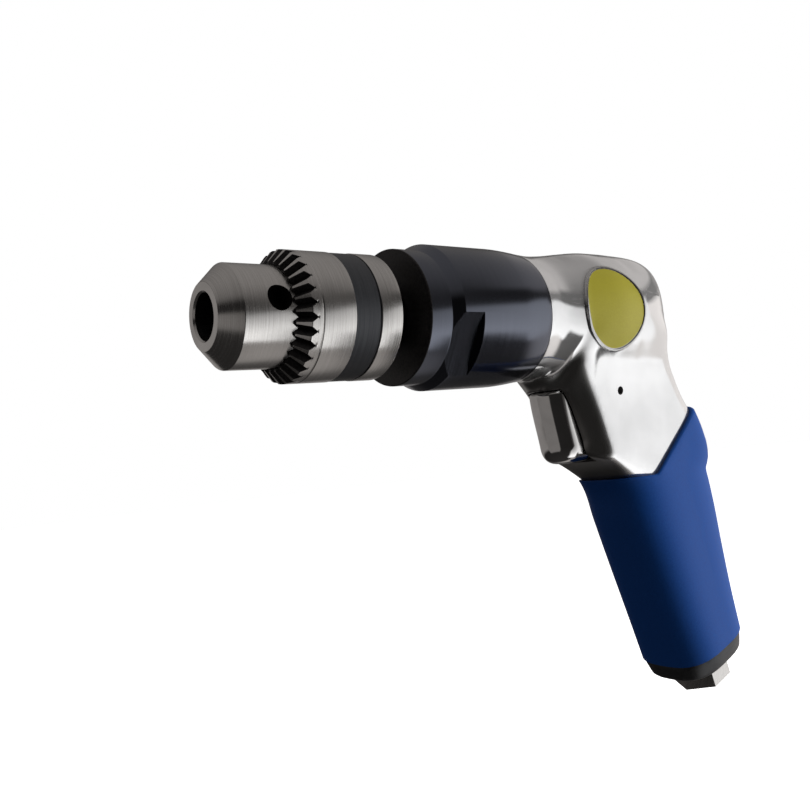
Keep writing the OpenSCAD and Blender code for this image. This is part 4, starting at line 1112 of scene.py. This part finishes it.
# Studio: a plain pale floor, two soft fills, and a room that the metal mirrors. Lengths here are metres
FLOOR_Z = -0.30
FLOOR_R = 6.0
FLOOR_SIDES = 96
CAMERA_PLACE = (-0.0885, -0.2006, -0.0399)
CAMERA_RIGHT = (0.7968, -0.5941, -0.1101)
CAMERA_DOWN = (-0.0572, 0.1072, -0.9926)
CAMERA_FORWARD = (0.6015, 0.7972, 0.0514)
SENSOR_MM = 36
FOCAL_PIXELS = 820
IMAGE_PIXELS = 810
CLIP_START = 0.01

scene = bpy.context.scene
scene.view_settings.view_transform = "Standard"

camera_data = bpy.data.cameras.new("camera")
camera_data.sensor_width = SENSOR_MM
camera_data.lens = SENSOR_MM * FOCAL_PIXELS / IMAGE_PIXELS
camera_data.clip_start = CLIP_START
camera = bpy.data.objects.new("camera", camera_data)
scene.collection.objects.link(camera)
axes = Matrix((CAMERA_RIGHT, tuple(-c for c in CAMERA_DOWN), tuple(-c for c in CAMERA_FORWARD))).transposed()
camera.matrix_world = Matrix.Translation(CAMERA_PLACE) @ axes.to_4x4()
scene.camera = camera

floor_mesh = bpy.data.meshes.new("floor")
rim_points = [(FLOOR_R * math.cos(a), FLOOR_R * math.sin(a), FLOOR_Z)
              for a in (2 * math.pi * j / FLOOR_SIDES for j in range(FLOOR_SIDES))]
floor_mesh.from_pydata(rim_points, [], [list(range(FLOOR_SIDES))])
floor = bpy.data.objects.new("floor", floor_mesh)
scene.collection.objects.link(floor)
floor_mesh.materials.append(grained("floor_pale", (0.92, 0.92, 0.92), 0, 0.8, 6,
                                    ((0.91, 0.91, 0.91), (0.93, 0.93, 0.93)), detail=3,
                                    Emission_Color=(1, 1, 1, 1), Emission_Strength=1))
floor.visible_glossy = False
floor.visible_diffuse = False

MIDDLE = Vector((0.1, 0, -0.02))
# Soft fills that no metal mirrors: name, place, size and power
FILLS = (("right_fill", (0.95, -0.55, -0.05), (0.8, 1.0), 16), ("top_fill", (0.1, -0.2, 1.2), (2.4, 2.4), 8))
for name, place, size, power in FILLS:
    fill = bpy.data.lights.new(name, "AREA")
    fill.shape = "RECTANGLE"
    fill.size, fill.size_y = size
    fill.energy = power
    lamp = bpy.data.objects.new(name, fill)
    facing = (MIDDLE - Vector(place)).to_track_quat("-Z", "Y")
    lamp.matrix_world = Matrix.Translation(place) @ facing.to_matrix().to_4x4()
    lamp.visible_glossy = False
    scene.collection.objects.link(lamp)

# The room that the metal mirrors: levels by height for places from the left to the right, then two soft walls
ROOM_LEFT = ((-1, 0.03), (0.3, 0.015), (0.5, 0.18), (1, 0.3))
ROOM_MIDDLE = ((-1, 0.5), (-0.82, 0.42), (-0.7, 0.12), (-0.4, 0.06), (0.3, 0.1), (0.5, 0.15),
               (0.8, 0.28), (1, 0.3))
ROOM_CASE = ((-1, 0.05), (0.4, 0.06), (0.5, 0.14), (0.7, 0.24), (1, 0.36))
ROOM_RIGHT = ((-1, 0.06), (0.41, 0.05), (0.5, 0.44), (1, 0.46))
ROOM_FAR_RIGHT = ((-1, 0.5), (-0.5, 0.85), (0.16, 0.95), (0.22, 0.12), (0.36, 0.12), (0.45, 0.5), (1, 0.5))
ROOM_ZONES = ((ROOM_LEFT, None), (ROOM_MIDDLE, (0.2, 0.4)), (ROOM_CASE, (0.58, 0.64)),
              (ROOM_RIGHT, (0.66, 0.74)), (ROOM_FAR_RIGHT, (0.76, 0.81)))
ROOM_TINT = (1.0, 0.95, 0.92)
# The broad wall beside the camera: its light by depth and height, its slanted top and its far edge
WALL_DEEP = 0.66
WALL_FADE = 2.6
WALL_RISE = -0.6
WALL_LEVEL = 1.08
WALL_LEAST = 0.3
WALL_TOP_SLOPE = 0.8
WALL_TOP = 0.575
WALL_TOP_REACH = (0.22, 0.13)
WALL_EDGE_REACH = (0.03, -0.03)
WALL_LEFT_REACH = (-0.12, 0.1)
WALL_EDGE = ((-1, 0.41), (0.52, 0.4), (0.59, 0.61), (0.71, 0.61), (0.76, 0.42), (1, 0.4))
# The wall behind the drill, and a low one at its front: a level, then reaches in depth, across and in height
FAR_WALLS = ((0.3, (0, 0.12), (1, 0.9), (-0.35, -0.2), (0.4, 0.3)),
             (0.24, (-0.6, -0.5), (-0.76, -0.82), (-0.5, -0.4), (0.08, -0.02)))

world = bpy.data.worlds.new("room")
scene.world = world
world.use_nodes = True
nodes, links = world.node_tree.nodes, world.node_tree.links
way = nodes.new("ShaderNodeTexCoord")
split = nodes.new("ShaderNodeSeparateXYZ")
links.new(way.outputs["Generated"], split.inputs["Vector"])


def between(source, low, high):
    """A soft step of a value, from 0 at low to 1 at high."""
    span, ends = ((high, low), (1, 0)) if low > high else ((low, high), (0, 1))
    return mapped(world.node_tree, source, span, ends, "SMOOTHSTEP")


def worked(operation, one, two):
    """An operation on two values, or on a value and a number."""
    node = nodes.new("ShaderNodeMath")
    node.operation = operation
    for socket, value in zip(node.inputs, (one, two)):
        if isinstance(value, (int, float)):
            socket.default_value = value
        else:
            links.new(value, socket)
    return node.outputs["Value"]


def along(source, levels, tint=(1, 1, 1)):
    """Light along an axis of the room, from pairs of a place from -1 to 1 and a level."""
    place = mapped(world.node_tree, source, (-1, 1), (0, 1))
    walls = nodes.new("ShaderNodeValToRGB")
    stops = walls.color_ramp.elements
    while len(stops) < len(levels):
        stops.new(0.5)
    for stop, (at, level) in zip(stops, levels):
        stop.position = (at + 1) / 2
        stop.color = (*(level * share for share in tint), 1)
    links.new(place, walls.inputs["Fac"])
    return walls.outputs["Color"]


def laid_over(below, above, share):
    """One light over another, by a share."""
    mix = nodes.new("ShaderNodeMix")
    mix.data_type = "RGBA"
    links.new(share, mix.inputs["Factor"])
    links.new(below, mix.inputs["A"])
    links.new(above, mix.inputs["B"])
    return mix.outputs["Result"]


across, deep, height = (split.outputs[axis] for axis in "XYZ")
light = None
for levels, reach in ROOM_ZONES:
    zone = along(height, levels, ROOM_TINT)
    light = laid_over(light, zone, between(across, *reach)) if reach else zone
level = worked("MINIMUM", worked("ADD", deep, WALL_DEEP), 0)
level = worked("ADD", worked("MULTIPLY", level, WALL_FADE), worked("MULTIPLY", height, WALL_RISE))
level = worked("MAXIMUM", worked("ADD", level, WALL_LEVEL), WALL_LEAST)
top = worked("ADD", worked("SUBTRACT", height, worked("MULTIPLY", across, WALL_TOP_SLOPE)), WALL_TOP)
edge = worked("ADD", deep, along(across, WALL_EDGE))
share = worked("MULTIPLY", between(top, *WALL_TOP_REACH), between(edge, *WALL_EDGE_REACH))
share = worked("MULTIPLY", share, between(across, *WALL_LEFT_REACH))
light = laid_over(light, level, share)
for level, deep_reach, across_reach, low_reach, high_reach in FAR_WALLS:
    wall = nodes.new("ShaderNodeRGB")
    wall.outputs["Color"].default_value = (*(level * share for share in ROOM_TINT), 1)
    share = worked("MULTIPLY", between(deep, *deep_reach), between(across, *across_reach))
    share = worked("MULTIPLY", share, between(height, *low_reach))
    share = worked("MULTIPLY", share, between(height, *high_reach))
    light = laid_over(light, wall.outputs["Color"], share)

room = nodes["Background"]
backdrop = nodes.new("ShaderNodeBackground")
backdrop.inputs["Color"].default_value = (1, 1, 1, 1)
rays = nodes.new("ShaderNodeLightPath")
mix = nodes.new("ShaderNodeMixShader")
links.new(light, room.inputs["Color"])
links.new(rays.outputs["Is Camera Ray"], mix.inputs["Fac"])
links.new(room.outputs["Background"], mix.inputs[1])
links.new(backdrop.outputs["Background"], mix.inputs[2])
links.new(mix.outputs["Shader"], nodes["World Output"].inputs["Surface"])
